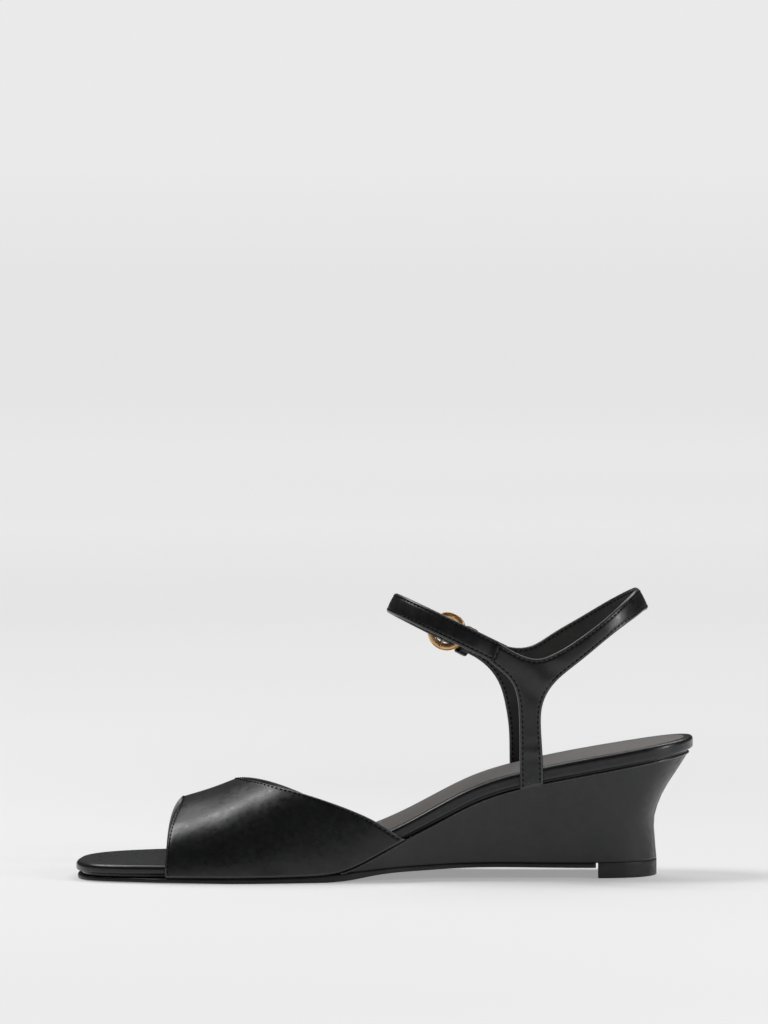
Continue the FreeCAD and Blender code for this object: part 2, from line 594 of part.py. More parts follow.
def buckle_prong():
    """Eye around the bar, and a curved tongue through the strap to the ring's front."""
    width = 2 * (PRONG_GAP - 0.35)
    eye = fold_rod(BAR_RADIUS + PIN_CLEARANCE + 0.55, width)
    rest = RING_WIRE + PRONG_RADIUS + 0.1
    over_x = RING_RADIUS * RING_COS - rest * RING_SIN
    over = V(over_x, 0, RING_RADIUS * RING_SIN - BAR_DEPTH + rest * RING_COS)
    path = spline([V(0.55, 0, 0.25 - BAR_DEPTH + 0.3), V(1.5, 0, 1.7), V(3.0, 0, 3.3), over, V(7.6, 0, 4.9)])
    start = path.valueAt(path.FirstParameter)
    tangent = path.tangentAt(path.FirstParameter)
    circle = Part.Wire([Part.makeCircle(PRONG_RADIUS, start, tangent)])
    tongue = Part.Wire([path]).makePipeShell([circle], True, False)
    tip = Part.makeSphere(PRONG_RADIUS, V(7.6, 0, 4.9))
    return merged(eye, tongue, tip).cut(fold_rod(BAR_RADIUS + PIN_CLEARANCE, 20.0))


def keeper_loop():
    """Leather loop around the strap's tail and the collar's arm."""
    inside_low = -STRAP_THICKNESS / 2 - 0.45
    inside_high = TAIL_RISE + STRAP_THICKNESS / 2 + 0.45
    half = STRAP_HALF_WIDTH + 0.7
    height = inside_high - inside_low + 2 * KEEPER_LEATHER
    outer = Part.makeBox(KEEPER_WIDTH, 2 * (half + KEEPER_LEATHER), height,
                         V(-KEEPER_WIDTH / 2, -half - KEEPER_LEATHER, inside_low - KEEPER_LEATHER))
    outer = outer.makeFillet(0.8, [e for e in outer.Edges if abs(e.tangentAt(e.FirstParameter).x) > 0.9])
    inner = Part.makeBox(KEEPER_WIDTH + 4, 2 * half, inside_high - inside_low,
                         V(-KEEPER_WIDTH / 2 - 2, -half, inside_low))
    return outer.cut(inner)


# ---------------------------------------------------------------- front strap
def plane_local(point):
    """A point of the tilted plane, in that plane's own two directions."""
    along = V(1, 0, -PLANE_MX).normalize()
    across = WIDTH_AXIS.cross(along)
    relative = point - V(0, 0, PLANE_Z)
    return relative.dot(along), relative.dot(across)


def strap_path():
    """Middle line of the front strap from the inner seam round to its tail, in the tilted plane."""
    points = []
    for x in (STRAP_SEAM_X, 37.0, 30.0, 23.0, 16.0, 10.0, 5.6):
        points.append(plane_local(strap_point(x, -1)[0]))
    points.append(plane_local(on_strap_plane(2.6, 0.0)))
    outer = []
    for x in (5.6, 9.5, 13.5, 16.5):
        outer.append(plane_local(strap_point(x, 1)[0]))
    for ahead in (6.0, 4.4, 3.0, 1.6, 0.0, -2.0, -5.0, -9.0, -13.0, -17.0, -TAIL_LENGTH):
        x = BUCKLE_X - ahead * STRAP_SLOPE
        base, _, normal = strap_point(x, 1)
        outer.append(plane_local(base + normal * between(STRAP_RISE, ahead)))
    return points + outer


def offset_path(points, distance):
    """Move an open line sideways, to its left for a positive distance."""
    moved = []
    for i, (a, b) in enumerate(points):
        (a0, b0), (a1, b1) = points[max(0, i - 1)], points[min(len(points) - 1, i + 1)]
        length = math.hypot(a1 - a0, b1 - b0)
        moved.append((a - distance * (b1 - b0) / length, b + distance * (a1 - a0) / length))
    return moved


def strap_layer(path, left, right):
    one = spline([V(a, b, -STRAP_HALF_WIDTH) for a, b in offset_path(path, left)])
    two = spline([V(a, b, -STRAP_HALF_WIDTH) for a, b in offset_path(path, right)])
    ends = [line(one.valueAt(one.FirstParameter), two.valueAt(two.FirstParameter)),
            line(one.valueAt(one.LastParameter), two.valueAt(two.LastParameter))]
    face = Part.Face(Part.Wire(Part.__sortEdges__([one, two] + ends)))
    solid = face.extrude(V(0, 0, 2 * STRAP_HALF_WIDTH))
    along = V(1, 0, -PLANE_MX).normalize()
    across = WIDTH_AXIS.cross(along)
    m = FreeCAD.Matrix(along.x, across.x, WIDTH_AXIS.x, 0, along.y, across.y, WIDTH_AXIS.y, 0,
                       along.z, across.z, WIDTH_AXIS.z, PLANE_Z, 0, 0, 0, 1)
    solid.Placement = FreeCAD.Placement(m)
    return solid


def strap_cutters():
    """The prong's slot, the spare holes and the rounded tip of the tail."""
    slot = Part.makeBox(6.2, 2 * HOLE_RADIUS, 8.0, V(-2.8, -HOLE_RADIUS, -2.0))
    cutters = [placed(slot, *BUCKLE)]
    for step in (-2, -1, 1, 2):
        place = strap_point(BUCKLE_X - step * HOLE_PITCH * STRAP_SLOPE, 1)
        hole = Part.makeCylinder(HOLE_RADIUS, 12.0, V(0, 0, -4.0), V(0, 0, 1))
        cutters.append(placed(hole, *place))
    tip = strap_point(BUCKLE_X + (TAIL_LENGTH - STRAP_HALF_WIDTH) * STRAP_SLOPE, 1)
    square = Part.makeBox(20, 30, 30, V(-20, -15, -15))
    round_end = Part.makeCylinder(STRAP_HALF_WIDTH, 30, V(0, 0, -15), V(0, 0, 1))
    cutters.append(placed(square.cut(round_end), *tip))
    return cutters


def front_strap_parts():
    """Outer leather, tape and lining of the strap over the instep."""
    path = strap_path()
    half = STRAP_THICKNESS / 2
    edges = (half, -half + STRAP_LINING + STRAP_TAPE, -half + STRAP_LINING, -half)
    cutters = strap_cutters()
    layers = []
    for a, b in zip(edges, edges[1:]):
        layer = strap_layer(path, a, b)
        for cutter in cutters:
            layer = layer.cut(cutter)
        layers.append(layer)
    return layers


def shank_and_fasteners():
    """Steel shank under the board, its rivets, the heel nails and the top lift's pins."""
    shank = slab(lifted(SOLE_LINE, -SHANK_THICKNESS), SOLE_LINE)
    shank = shank.common(block(SHANK_FRONT_X, SHANK_REAR_X, -SHANK_HALF_WIDTH, SHANK_HALF_WIDTH, 0, 80))
    rivets = []
    for x in (SHANK_FRONT_X + 12.0, SHANK_REAR_X - 10.0):
        low, high = sole_z(x) - SHANK_THICKNESS, sole_z(x) + MARGIN_THICKNESS + BOARD_THICKNESS
        rod = Part.makeCylinder(RIVET_RADIUS, high - low, V(x, 0, low))
        heads = []
        for head_z in (low - RIVET_HEAD, high):
            heads.append(Part.makeCylinder(RIVET_HEAD_RADIUS, RIVET_HEAD, V(x, 0, head_z)))
        rivets.append(merged(rod, *heads))
    nails = []
    for x, y in NAIL_PLACES:
        high = sole_z(x) + MARGIN_THICKNESS + BOARD_THICKNESS
        nails.append(merged(Part.makeCylinder(NAIL_RADIUS, NAIL_LENGTH, V(x, y, high - NAIL_LENGTH)),
                            Part.makeCylinder(NAIL_HEAD_RADIUS, NAIL_HEAD, V(x, y, high))))
    pins = [Part.makeCylinder(PIN_RADIUS, PIN_LENGTH, V(x, y, PIN_LOW_Z)) for x, y in PIN_PLACES]
    return shank, Part.makeCompound(rivets), Part.makeCompound(nails), Part.makeCompound(pins)


def report(name, shape):
    print(name, len(shape.Solids), round(shape.Volume, 1), shape.isValid())
    save(name, shape)


def main():
    collar, shells = collar_parts()
    anchors = leg_anchors(shells)
    strap = front_strap_parts()
    vamp_outer, vamp_tape, vamp_lining, vamp_shell = vamp_parts()
    outsole, core, cover, lift = sole_and_wedge()
    filler, board, foam, wrap, sock = footbed_layers(vamp_shell, anchors)
    shank, rivets, nails, pins = shank_and_fasteners()
    core = core.cut(shank).cut(rivets).cut(nails).cut(pins)
    lift = lift.cut(pins)
    shank = shank.cut(rivets)
    filler = filler.cut(rivets).cut(nails)
    board = board.cut(rivets).cut(nails)
    foam = foam.cut(rivets).cut(nails)
    parts = {
        "outsole": outsole, "heel_top_lift": lift, "top_lift_pins": pins, "wedge_core": core,
        "wedge_cover": cover, "shank": shank, "shank_rivets": rivets, "heel_nails": nails,
        "bottom_filler": filler, "insole_board": board, "footbed_foam": foam, "footbed_wrap": wrap,
        "sock_lining": sock, "vamp_outer": vamp_outer, "vamp_tape": vamp_tape, "vamp_lining": vamp_lining,
        "leg_anchor_medial": anchors[0], "leg_anchor_lateral": anchors[1],
        "collar_outer": collar[0], "collar_tape": collar[1], "collar_lining": collar[2],
        "front_strap_outer": strap[0], "front_strap_tape": strap[1], "front_strap_lining": strap[2],
        "buckle_fold": placed(buckle_fold(), *BUCKLE), "buckle_ring": placed(buckle_ring(), *BUCKLE),
        "buckle_prong": placed(buckle_prong(), *BUCKLE), "keeper_loop": placed(keeper_loop(), *KEEPER)}
    for name, shape in parts.items():
        report(name, shape)


main()
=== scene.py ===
import math

import bmesh
import bpy
import numpy as np
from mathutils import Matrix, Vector, geometry
from mathutils.kdtree import KDTree


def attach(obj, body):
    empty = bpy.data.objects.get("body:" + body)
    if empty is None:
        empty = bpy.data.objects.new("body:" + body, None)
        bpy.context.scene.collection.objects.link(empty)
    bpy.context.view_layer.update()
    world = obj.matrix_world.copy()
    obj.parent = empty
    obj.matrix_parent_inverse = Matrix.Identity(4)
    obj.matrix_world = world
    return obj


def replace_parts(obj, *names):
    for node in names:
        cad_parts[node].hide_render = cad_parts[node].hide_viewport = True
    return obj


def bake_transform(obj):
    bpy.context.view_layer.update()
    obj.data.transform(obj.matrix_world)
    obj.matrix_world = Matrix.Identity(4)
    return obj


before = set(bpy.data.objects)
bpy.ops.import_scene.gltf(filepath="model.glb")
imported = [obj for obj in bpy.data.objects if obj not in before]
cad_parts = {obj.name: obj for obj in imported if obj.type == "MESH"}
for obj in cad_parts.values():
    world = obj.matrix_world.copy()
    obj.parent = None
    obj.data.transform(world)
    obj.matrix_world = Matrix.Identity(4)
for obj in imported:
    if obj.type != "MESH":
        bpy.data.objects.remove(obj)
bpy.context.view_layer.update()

# Looks of a women's open-toe wedge sandal, drawn in millimetres and written in metres.
# +X is the heel, +Y the outer side with the buckle, +Z up, origin on the ground.
MM = 0.001

# ---------------------------------------------------------------- sizes
MARGIN_THICKNESS = 1.3
SOCK_INSET = 3.4
SOCK_THICKNESS = 1.0
SOCK_FRONT_X = -72.0
VAMP_THICKNESS = 2.2
LIFT_TOP_Z = 6.2
HEEL_BREAST_X = 82.7
WEDGE_TIP_X = -17.3
STRAP_THICKNESS = 1.8
STRAP_HALF_WIDTH = 4.1
STITCH_INSET = 1.25
STITCH_PITCH = 2.0
STITCH_LENGTH = 1.35
STITCH_RADIUS = 0.24
STITCH_SLANT = 0.14
STITCH_LIFT = 0.02
GROOVE_DEPTH = 0.14
GROOVE_WIDTH = 0.3
EDGE_RINGS = (0.12, 0.3, 0.55, 0.85, 1.1, 1.25, 1.4, 1.7, 2.3)
RING_SHARE = 0.93            # a ring point nearer to some edge than this share of its inset is left out
LAYER_SPACING = 4.0
STRAP_CROWN = 0.22
ARCH_SCALE = 42.0
MARGIN_INSET = 2.2
WEDGE_EDGE = 0.45
BEAD_RADIUS = 0.45
WEDGE_TAPER = 0.26
WEDGE_TAPER_HEIGHT = 42.0
WEDGE_PULL_FROM_X = 40.0
WEDGE_PULL_LENGTH = 78.4
WEDGE_BACK_TOP_X = 119.2
WEDGE_TURN_IN = 2.0
TREAD_DEPTH = 0.6
TREAD_PITCH = 5.0
TREAD_BORDER = 4.0
TREAD_FRONT_X = -108.0
TREAD_REAR_X = -22.0
TREAD_REACH = 0.97

FOOTBED = [
    (120.0, 0.0), (117.8, 11.0), (110.5, 20.5), (97.0, 26.5), (75.0, 28.3),
    (50.0, 28.8), (25.0, 30.6), (0.0, 34.4), (-25.0, 39.2), (-45.0, 41.6),
    (-63.0, 41.0), (-82.0, 36.6), (-98.0, 30.0), (-109.0, 21.6), (-115.6, 11.0),
    (-118.6, -3.0), (-119.2, -18.0), (-115.6, -29.4), (-105.0, -36.4), (-85.0, -40.2),
    (-63.0, -41.6), (-45.0, -40.4), (-25.0, -36.6), (0.0, -31.0), (25.0, -27.4),
    (50.0, -26.5), (75.0, -27.0), (97.0, -25.6), (110.5, -20.2), (117.8, -11.0)]
SOLE_LINE = [(-130.0, 2.0), (-90.0, 2.0), (-50.0, 2.0), (-30.0, 2.3), (-17.3, 3.6), (-6.0, 8.2),
             (8.0, 15.8), (20.7, 22.4), (36.3, 30.2), (48.0, 34.2), (61.7, 37.3), (80.4, 40.8),
             (100.2, 44.5), (119.0, 48.2), (130.0, 50.4)]
FOOTBED_TOP = [(-130.0, 6.8), (-95.0, 6.8), (-60.0, 6.8), (-40.0, 7.6), (-20.0, 11.6), (-5.0, 16.6),
               (8.0, 22.4), (20.7, 29.2), (36.3, 36.8), (52.8, 41.8), (61.4, 43.8), (76.4, 46.8),
               (92.3, 49.6), (108.1, 52.4), (130.0, 56.2)]
OUTSOLE_TOP = [(-130.0, 2.0), (-90.0, 2.0), (-50.0, 2.0), (-30.0, 2.3), (-17.3, 3.2), (-2.9, 4.6),
               (14.0, 5.6), (30.0, 6.2), (60.0, 6.2), (130.0, 6.2)]
OUTSOLE_BOTTOM = [(-130.0, 0.0), (-60.0, 0.0), (-22.0, 0.0), (-12.0, 0.9), (-2.9, 2.4), (14.0, 3.6),
                  (30.0, 4.3), (60.0, 4.3), (130.0, 4.3)]
FLARE = [(-112.0, -0.6), (-98.0, 0.2), (-87.0, VAMP_THICKNESS), (0.0, VAMP_THICKNESS), (26.0, -0.8),
         (130.0, -0.8)]
WEDGE_BACK = [(0.0, 106.4), (6.0, 106.0), (11.1, 105.5), (16.5, 105.1), (20.8, 104.9), (24.1, 105.4),
              (27.9, 106.6), (33.4, 109.1), (39.8, 113.2), (48.2, 118.4), (56.0, 122.4)]
VAMP_FRONT_EDGE = [(-84.6, 1.0), (-84.9, 7.0), (-84.4, 12.5), (-83.2, 19.0), (-80.4, 26.0), (-75.4, 31.4)]
VAMP_REAR_EDGE = [(-61.6, 35.4), (-57.6, 36.4), (-53.5, 37.0), (-49.7, 37.1), (-40.4, 35.8), (-31.1, 33.8),
                  (-21.7, 31.0), (-12.4, 27.6), (-3.1, 23.2), (5.4, 17.8), (8.4, 15.9)]
VAMP_REAR_EDGE_OUTER = [(-61.6, 35.4), (-57.5, 35.9), (-51.5, 35.2), (-43.5, 32.9), (-35.0, 29.6),
                        (-26.5, 25.6), (-17.6, 21.2), (-8.6, 16.6), (-1.0, 12.0), (0.6, 11.0)]
VAMP_CREST = [(-92.0, 24.4), (-84.0, 27.9), (-76.0, 30.5), (-66.0, 33.6), (-57.6, 36.9), (-45.0, 42.0),
              (-30.0, 48.5), (-12.0, 56.5), (6.0, 64.0), (18.0, 68.0)]
VAMP_ROUNDNESS = 0.86

LOOP_Z = 104.0
LOOP_MIDDLE_X = 51.5
LOOP_LEAN = 0.0100
LOOP = [(101.6, 0.0), (98.2, 10.4), (89.0, 19.6), (75.0, 26.2), (62.0, 30.0), (50.0, 31.0),
        (38.0, 28.6), (26.5, 23.4), (14.5, 16.8), (6.0, 9.4), (2.6, 0.0), (5.4, -9.0),
        (13.0, -17.0), (24.0, -23.4), (37.0, -27.4), (50.0, -28.8), (62.0, -28.4),
        (75.0, -25.8), (89.0, -19.4), (98.2, -10.2)]
MEDIAL_TOP = [(44.4, 92.6), (50.0, 89.2), (55.0, 87.0), (59.8, 86.2), (65.0, 87.8), (75.0, 93.6),
              (87.0, 102.4), (98.9, 112.3), (106.0, 117.6)]
MEDIAL_BACK = [(106.0, 106.4), (101.9, 103.8), (91.8, 97.4), (74.9, 84.3), (64.6, 75.0),
               (61.5, 68.6), (60.8, 60.0), (61.5, 47.5), (61.6, 37.4)]
MEDIAL_FRONT = [(52.6, 35.2), (52.5, 47.5), (52.3, 63.6), (51.4, 72.0), (49.4, 77.2), (45.4, 81.4),
                (40.9, 85.0)]
LATERAL_TOP = [(26.6, 96.2), (30.0, 94.4), (36.0, 91.2), (43.9, 87.8), (51.0, 85.8), (57.0, 86.4),
               (65.0, 91.0), (75.0, 97.2), (87.0, 104.8), (98.9, 112.3), (106.0, 117.2)]
LATERAL_BACK = [(106.0, 106.4), (101.9, 103.8), (91.0, 96.9), (73.5, 84.0), (62.0, 74.4),
                (58.6, 67.6), (57.6, 59.0), (57.9, 47.5), (58.0, 36.6)]
LATERAL_FRONT = [(49.0, 34.4), (48.9, 47.5), (48.6, 55.0), (47.4, 63.0), (45.6, 70.0), (42.8, 75.4),
                 (38.6, 79.9), (30.0, 85.3), (23.4, 88.8)]

PLANE_Z = 107.3
PLANE_MX = 0.493
PLANE_MY = 0.104
BUCKLE_X = 24.3
KEEPER_X = 32.4
RING_RADIUS = 6.6
RING_WIRE = 0.95
RING_BAND = 1.4
RING_TILT = math.radians(30.0)
BAR_RADIUS = 0.7
BAR_DEPTH = 0.5
PIN_CLEARANCE = 0.06
FOLD_LEATHER = 0.9
PRONG_RADIUS = 0.65
TAIL_RISE = BAR_RADIUS + PIN_CLEARANCE + FOLD_LEATHER - BAR_DEPTH + STRAP_THICKNESS / 2 + 0.12
STRAP_RISE = [(-40.0, TAIL_RISE), (-0.2, TAIL_RISE), (1.4, 1.75), (2.8, 0.75), (4.2, 0.0), (6.0, -0.15),
              (9.0, 0.0), (200.0, 0.0)]
TAIL_LENGTH = 20.0
HOLE_PITCH = 6.4
HOLE_RADIUS = 1.0
SLOT_FRONT = 1.8
SLOT_REAR = 2.2
STRAP_SLOPE = 0.82           # side-view distance for each mm along the strap near the buckle
STRAP_SEAM_X = 46.0
SEAM_DIP = [(-10.0, 0.0), (36.0, 0.0), (41.0, 0.95), (60.0, 0.95)]
KEEPER_LEATHER = 0.9
KEEPER_WIDTH = 3.5
KEEPER_CLEARANCE = 0.45
KEEPER_STITCH_INSET = 0.75
KEEPER_STITCH = (1.7, 1.15, 0.15)
FOLD_HALF_WIDTH = 3.7
FOLD_PLY_END_X = -5.0
FOLD_PLY_GAP = 0.65
PRONG_GAP = 1.5

# Studio, in metres and watts
CAMERA_AIM = (0.0, 0.0, 0.1411)
CAMERA_ELEVATION = 4.25
CAMERA_DISTANCE = 8.0
CAMERA_LENS = 724.3
WORLD_STRENGTH = 0.05
FLOOR_GREY = 0.70
FLOOR_HALF = 12.0
GLOW_MIDDLE = (0.0, 0.4, 0.0)
GLOW_REACH = 4.5
GLOW = [(0.0, 0.22), (0.5, 0.32), (0.9, 0.43), (1.4, 0.64), (1.9, 0.73), (3.4, 0.75), (4.5, 0.79)]
LIGHTS = [("Key", (-0.60, 0.20, 1.10), (0.5, 0.4), 7.0), ("Top", (0.3, 0.95, 1.35), (1.6, 0.8), 12.0),
          ("Fill", (1.05, -0.45, 0.42), (0.22, 0.45), 4.0)]


# ---------------------------------------------------------------- curves
def smooth(points, count=400, closed=False):
    """Points along a smooth cubic curve through the given ones, evenly spaced."""
    p = np.array(points, float)
    if closed:
        p = np.vstack([p, p[:1]])
    t = distance_along(p)
    n = len(p)
    h = np.diff(t)
    a = np.zeros((n, n))
    b = np.zeros((n, p.shape[1]))
    for i in range(1, n - 1):
        a[i, i - 1], a[i, i], a[i, i + 1] = h[i - 1], 2 * (h[i - 1] + h[i]), h[i]
        b[i] = 6 * ((p[i + 1] - p[i]) / h[i] - (p[i] - p[i - 1]) / h[i - 1])
    if closed:
        a[0, 0], a[0, 1], a[0, n - 2], a[0, n - 1] = 2 * h[0], h[0], h[-1], 2 * h[-1]
        b[0] = 6 * ((p[1] - p[0]) / h[0] - (p[-1] - p[-2]) / h[-1])
        a[-1, 0], a[-1, -1] = 1, -1
    else:
        a[0, 0], a[0, 1] = 1, -1
        a[-1, -1], a[-1, -2] = 1, -1
    m = np.linalg.solve(a, b)
    u = np.linspace(0, t[-1], 40 * n)
    k = np.clip(np.searchsorted(t, u, side="right") - 1, 0, n - 2)
    left, right, width = (t[k + 1] - u)[:, None], (u - t[k])[:, None], h[k][:, None]
    dense = (m[k] * left ** 3 + m[k + 1] * right ** 3) / (6 * width)
    dense += (p[k] / width - m[k] * width / 6) * left + (p[k + 1] / width - m[k + 1] * width / 6) * right
    return evenly(dense, count, closed)


def evenly(line, count, closed=False):
    """The same line with count points, evenly spaced; a closed line leaves out its last point."""
    line = np.array(line, float)
    t = distance_along(line)
    u = np.linspace(0, t[-1], count + 1)[:-1] if closed else np.linspace(0, t[-1], count)
    return np.stack([np.interp(u, t, line[:, i]) for i in range(line.shape[1])], axis=1)


def distance_along(line):
    """Distance from the start of a line to each of its points."""
    return np.concatenate([[0], np.cumsum(np.linalg.norm(np.diff(line, axis=0), axis=1))])


def unit(vectors):
    """Each row brought to length one."""
    return vectors / np.maximum(np.linalg.norm(vectors, axis=1), 1e-12)[:, None]


def graph(points):
    """A smooth curve through (x, value) pairs, as a function of x."""
    line = smooth(points, 900)
    return lambda x: np.interp(x, line[:, 0], line[:, 1])


def steps(points):
    """Straight lines between (x, value) pairs, as a function of x."""
    xs, ys = zip(*points)
    return lambda x: np.interp(x, xs, ys)


def moved_outward(line, offset):
    """A closed counter-clockwise outline moved outward, by a number or a function of x."""
    tangent = unit(np.roll(line, -1, axis=0) - np.roll(line, 1, axis=0))
    d = offset(line[:, 0]) if callable(offset) else np.full(len(line), offset)
    return line + np.stack([tangent[:, 1], -tangent[:, 0]], axis=1) * d[:, None]


def side_of(line, side):
    """|y| of a closed outline as a function of x, on one side (+1 outer, -1 inner)."""
    half = line[line[:, 1] * side > -1e-9]
    half = half[np.argsort(half[:, 0])]
    return lambda x: np.interp(x, half[:, 0], np.abs(half[:, 1]))


sole_z = graph(SOLE_LINE)
top_z = graph(FOOTBED_TOP)
outsole_top_z = graph(OUTSOLE_TOP)
outsole_bottom_z = graph(OUTSOLE_BOTTOM)
flare = steps(FLARE)
wedge_back = graph(WEDGE_BACK)
vamp_crest = graph(VAMP_CREST)
footbed_outline = smooth(FOOTBED, 520, closed=True)
flared_outline = moved_outward(footbed_outline, flare)


# ---------------------------------------------------------------- meshes
def make_object(name, verts, faces, material, slot, body=None, face_materials=None, materials=()):
    """A smooth-shaded mesh object from points in millimetres."""
    mesh = bpy.data.meshes.new(name)
    places = [tuple(float(c) * MM for c in v) for v in verts]
    mesh.from_pydata(places, [], [tuple(int(i) for i in f) for f in faces])
    mesh.validate()
    for face in mesh.polygons:
        face.use_smooth = True
    for each in (material, *materials):
        mesh.materials.append(each)
    if face_materials is not None:
        mesh.polygons.foreach_set("material_index", list(face_materials))
    mesh.update()
    obj = bpy.data.objects.new(name, mesh)
    bpy.context.scene.collection.objects.link(obj)
    if body:
        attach(obj, body)
    return obj


def triangulate(loops, inner_points):
    """Triangles filling the first loop, leaving out the others, through all the inner points."""
    points, edges = [], []
    for loop in loops:
        first = len(points)
        points += [Vector((float(a), float(b))) for a, b in loop]
        edges += [(first + i, first + (i + 1) % len(loop)) for i in range(len(loop))]
    points += [Vector((float(a), float(b))) for a, b in inner_points]
    verts, _, faces, _, _, _ = geometry.delaunay_2d_cdt(points, edges, [], 0, 1e-7)
    flat = np.array([(v.x, v.y) for v in verts])
    middle = np.array([flat[list(f)].mean(axis=0) for f in faces])
    keep = inside(middle, loops[0])
    for hole in loops[1:]:
        keep &= ~inside(middle, hole)
    return flat, [tuple(f) for f, k in zip(faces, keep) if k]


def inside(points, loop):
    """Which points lie in a closed loop."""
    x, y = points[:, 0], points[:, 1]
    result = np.zeros(len(points), bool)
    a, b = np.array(loop, float), np.roll(np.array(loop, float), -1, axis=0)
    for (xa, ya), (xb, yb) in zip(a, b):
        if ya == yb:
            continue
        crosses = ((ya > y) != (yb > y)) & (x < (xb - xa) * (y - ya) / (yb - ya) + xa)
        result ^= crosses
    return result


def frames(surface, points, step=0.02):
    """Position, unit normal and the two derivatives of a surface at domain points."""
    du, dv = np.array([step, 0.0]), np.array([0.0, step])
    pu = (surface(points + du) - surface(points - du)) / (2 * step)
    pv = (surface(points + dv) - surface(points - dv)) / (2 * step)
    return surface(points), unit(np.cross(pu, pv)), pu, pv


def inward_loop(surface, loop, distance, sign=1.0):
    """A closed loop moved inward along the surface by a real distance."""
    position, normal, pu, pv = frames(surface, loop)
    tangent = unit(np.roll(position, -1, axis=0) - np.roll(position, 1, axis=0))
    across = np.cross(normal, tangent) * sign * distance
    uu, uv, vv = (pu * pu).sum(1), (pu * pv).sum(1), (pv * pv).sum(1)
    au, av = (across * pu).sum(1), (across * pv).sum(1)
    det = uu * vv - uv * uv
    offset = np.stack([(au * vv - av * uv) / det, (av * uu - au * uv) / det], axis=1)
    for _ in range(3):
        reached = np.linalg.norm(surface(loop + offset) - position, axis=1)
        offset = offset * (distance / np.maximum(reached, 1e-6))[:, None]
    return loop + offset


def distances(points, boundary):
    """How far each point is from the boundary points, which are close together."""
    tree = KDTree(len(boundary))
    for i, p in enumerate(boundary):
        tree.insert(Vector(p), i)
    tree.balance()
    return np.array([tree.find(Vector(p))[2] for p in points])


def area_sign(loop):
    """+1 for a counter-clockwise loop, -1 for a clockwise one."""
    a, b = np.array(loop), np.roll(np.array(loop), -1, axis=0)
    return 1.0 if (a[:, 0] * b[:, 1] - b[:, 0] * a[:, 1]).sum() > 0 else -1.0


def edge_ring(surface, loop, boundary, inset, sign=1.0):
    """Points at one distance inside a loop, without those that are nearer to another edge."""
    ring = inward_loop(surface, np.array(loop), inset, sign)
    return ring[distances(surface(ring), boundary) > inset * RING_SHARE]


def field_points(surface, loops, boundary, spacing, gap):
    """Staggered points inside the first loop and outside the others, more than a gap from every edge."""
    low, high = np.min(loops[0], axis=0), np.max(loops[0], axis=0)
    us, vs = np.arange(low[0], high[0], spacing), np.arange(low[1], high[1], spacing)
    grid_u, grid_v = np.meshgrid(us, vs, indexing="ij")
    grid_v[::2] += spacing / 2
    field = np.stack([grid_u.ravel(), grid_v.ravel()], axis=1)
    field = field[inside(field, loops[0])]
    for hole in loops[1:]:
        field = field[~inside(field, hole)]
    return field[distances(surface(field), boundary) > gap]


def rounded(distance, radius):
    """0 at an edge, rising along a quarter circle to 1 at a distance of the radius."""
    return np.sqrt(np.clip(1 - (1 - np.clip(distance / radius, 0, 1)) ** 2, 0, 1))


def leather_panel(name, surface, loops, thickness, spacing, body, relief, seams):
    """A closed piece of leather on a surface: rounded edges, sunk seams and two faces.

    loops are in the surface's own two directions: the outline, then any holes. relief gives
    the extra height of the outer face as a function of domain point and distance to the edge.
    """
    boundary = np.vstack([surface(np.array(loop)) for loop in loops])
    near_edge = []
    for index, loop in enumerate(loops):
        sign = -area_sign(loop) if index else area_sign(loop)
        near_edge += [edge_ring(surface, loop, boundary, inset, sign) for inset in EDGE_RINGS]
    field = field_points(surface, loops, boundary, spacing, EDGE_RINGS[-1] * 1.25)
    flat, faces = triangulate(loops, np.vstack(near_edge + [field]))
    position, normal, _, _ = frames(surface, flat)
    distance = distances(position, boundary)
    radius = thickness / 2
    groove = np.zeros(len(flat))
    if len(seams):
        off_seam = distances(position, surface(np.vstack([evenly(seam, 900) for seam in seams])))
        groove = GROOVE_DEPTH * np.exp(-(off_seam / GROOVE_WIDTH) ** 2)
    lift = radius * rounded(distance, radius) - groove
    extra = relief(flat, distance)
    verts = np.vstack([position + normal * (lift + extra)[:, None], position - normal * lift[:, None]])
    on_edge = distance < 1e-4
    inner_index = np.where(on_edge, np.arange(len(flat)), len(flat) + np.arange(len(flat)))
    inner_faces = [tuple(int(inner_index[i]) for i in reversed(f)) for f in faces]
    # Faces on the rounded edge get the edge material: real edge paint, coloured lighter than the leather as
    # a painted highlight where the edges catch the light.
    edge_paint_highlight = [distance[list(f)].max() < radius * 1.02 for f in faces]
    slots = [2 if p else 0 for p in edge_paint_highlight] + [2 if p else 1 for p in edge_paint_highlight]
    obj = make_object(name, verts, faces + inner_faces, BLACK, "black_leather", None, slots, (LINING, EDGE_PAINT_HIGHLIGHT))
    remove_loose(obj)
    if body:
        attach(obj, body)
    return obj


def remove_loose(obj):
    """Delete points that no face uses, and turn all faces outward."""
    mesh = bmesh.new()
    mesh.from_mesh(obj.data)
    bmesh.ops.delete(mesh, geom=[v for v in mesh.verts if not v.link_faces], context="VERTS")
    bmesh.ops.recalc_face_normals(mesh, faces=mesh.faces)
    mesh.to_mesh(obj.data)
    mesh.free()


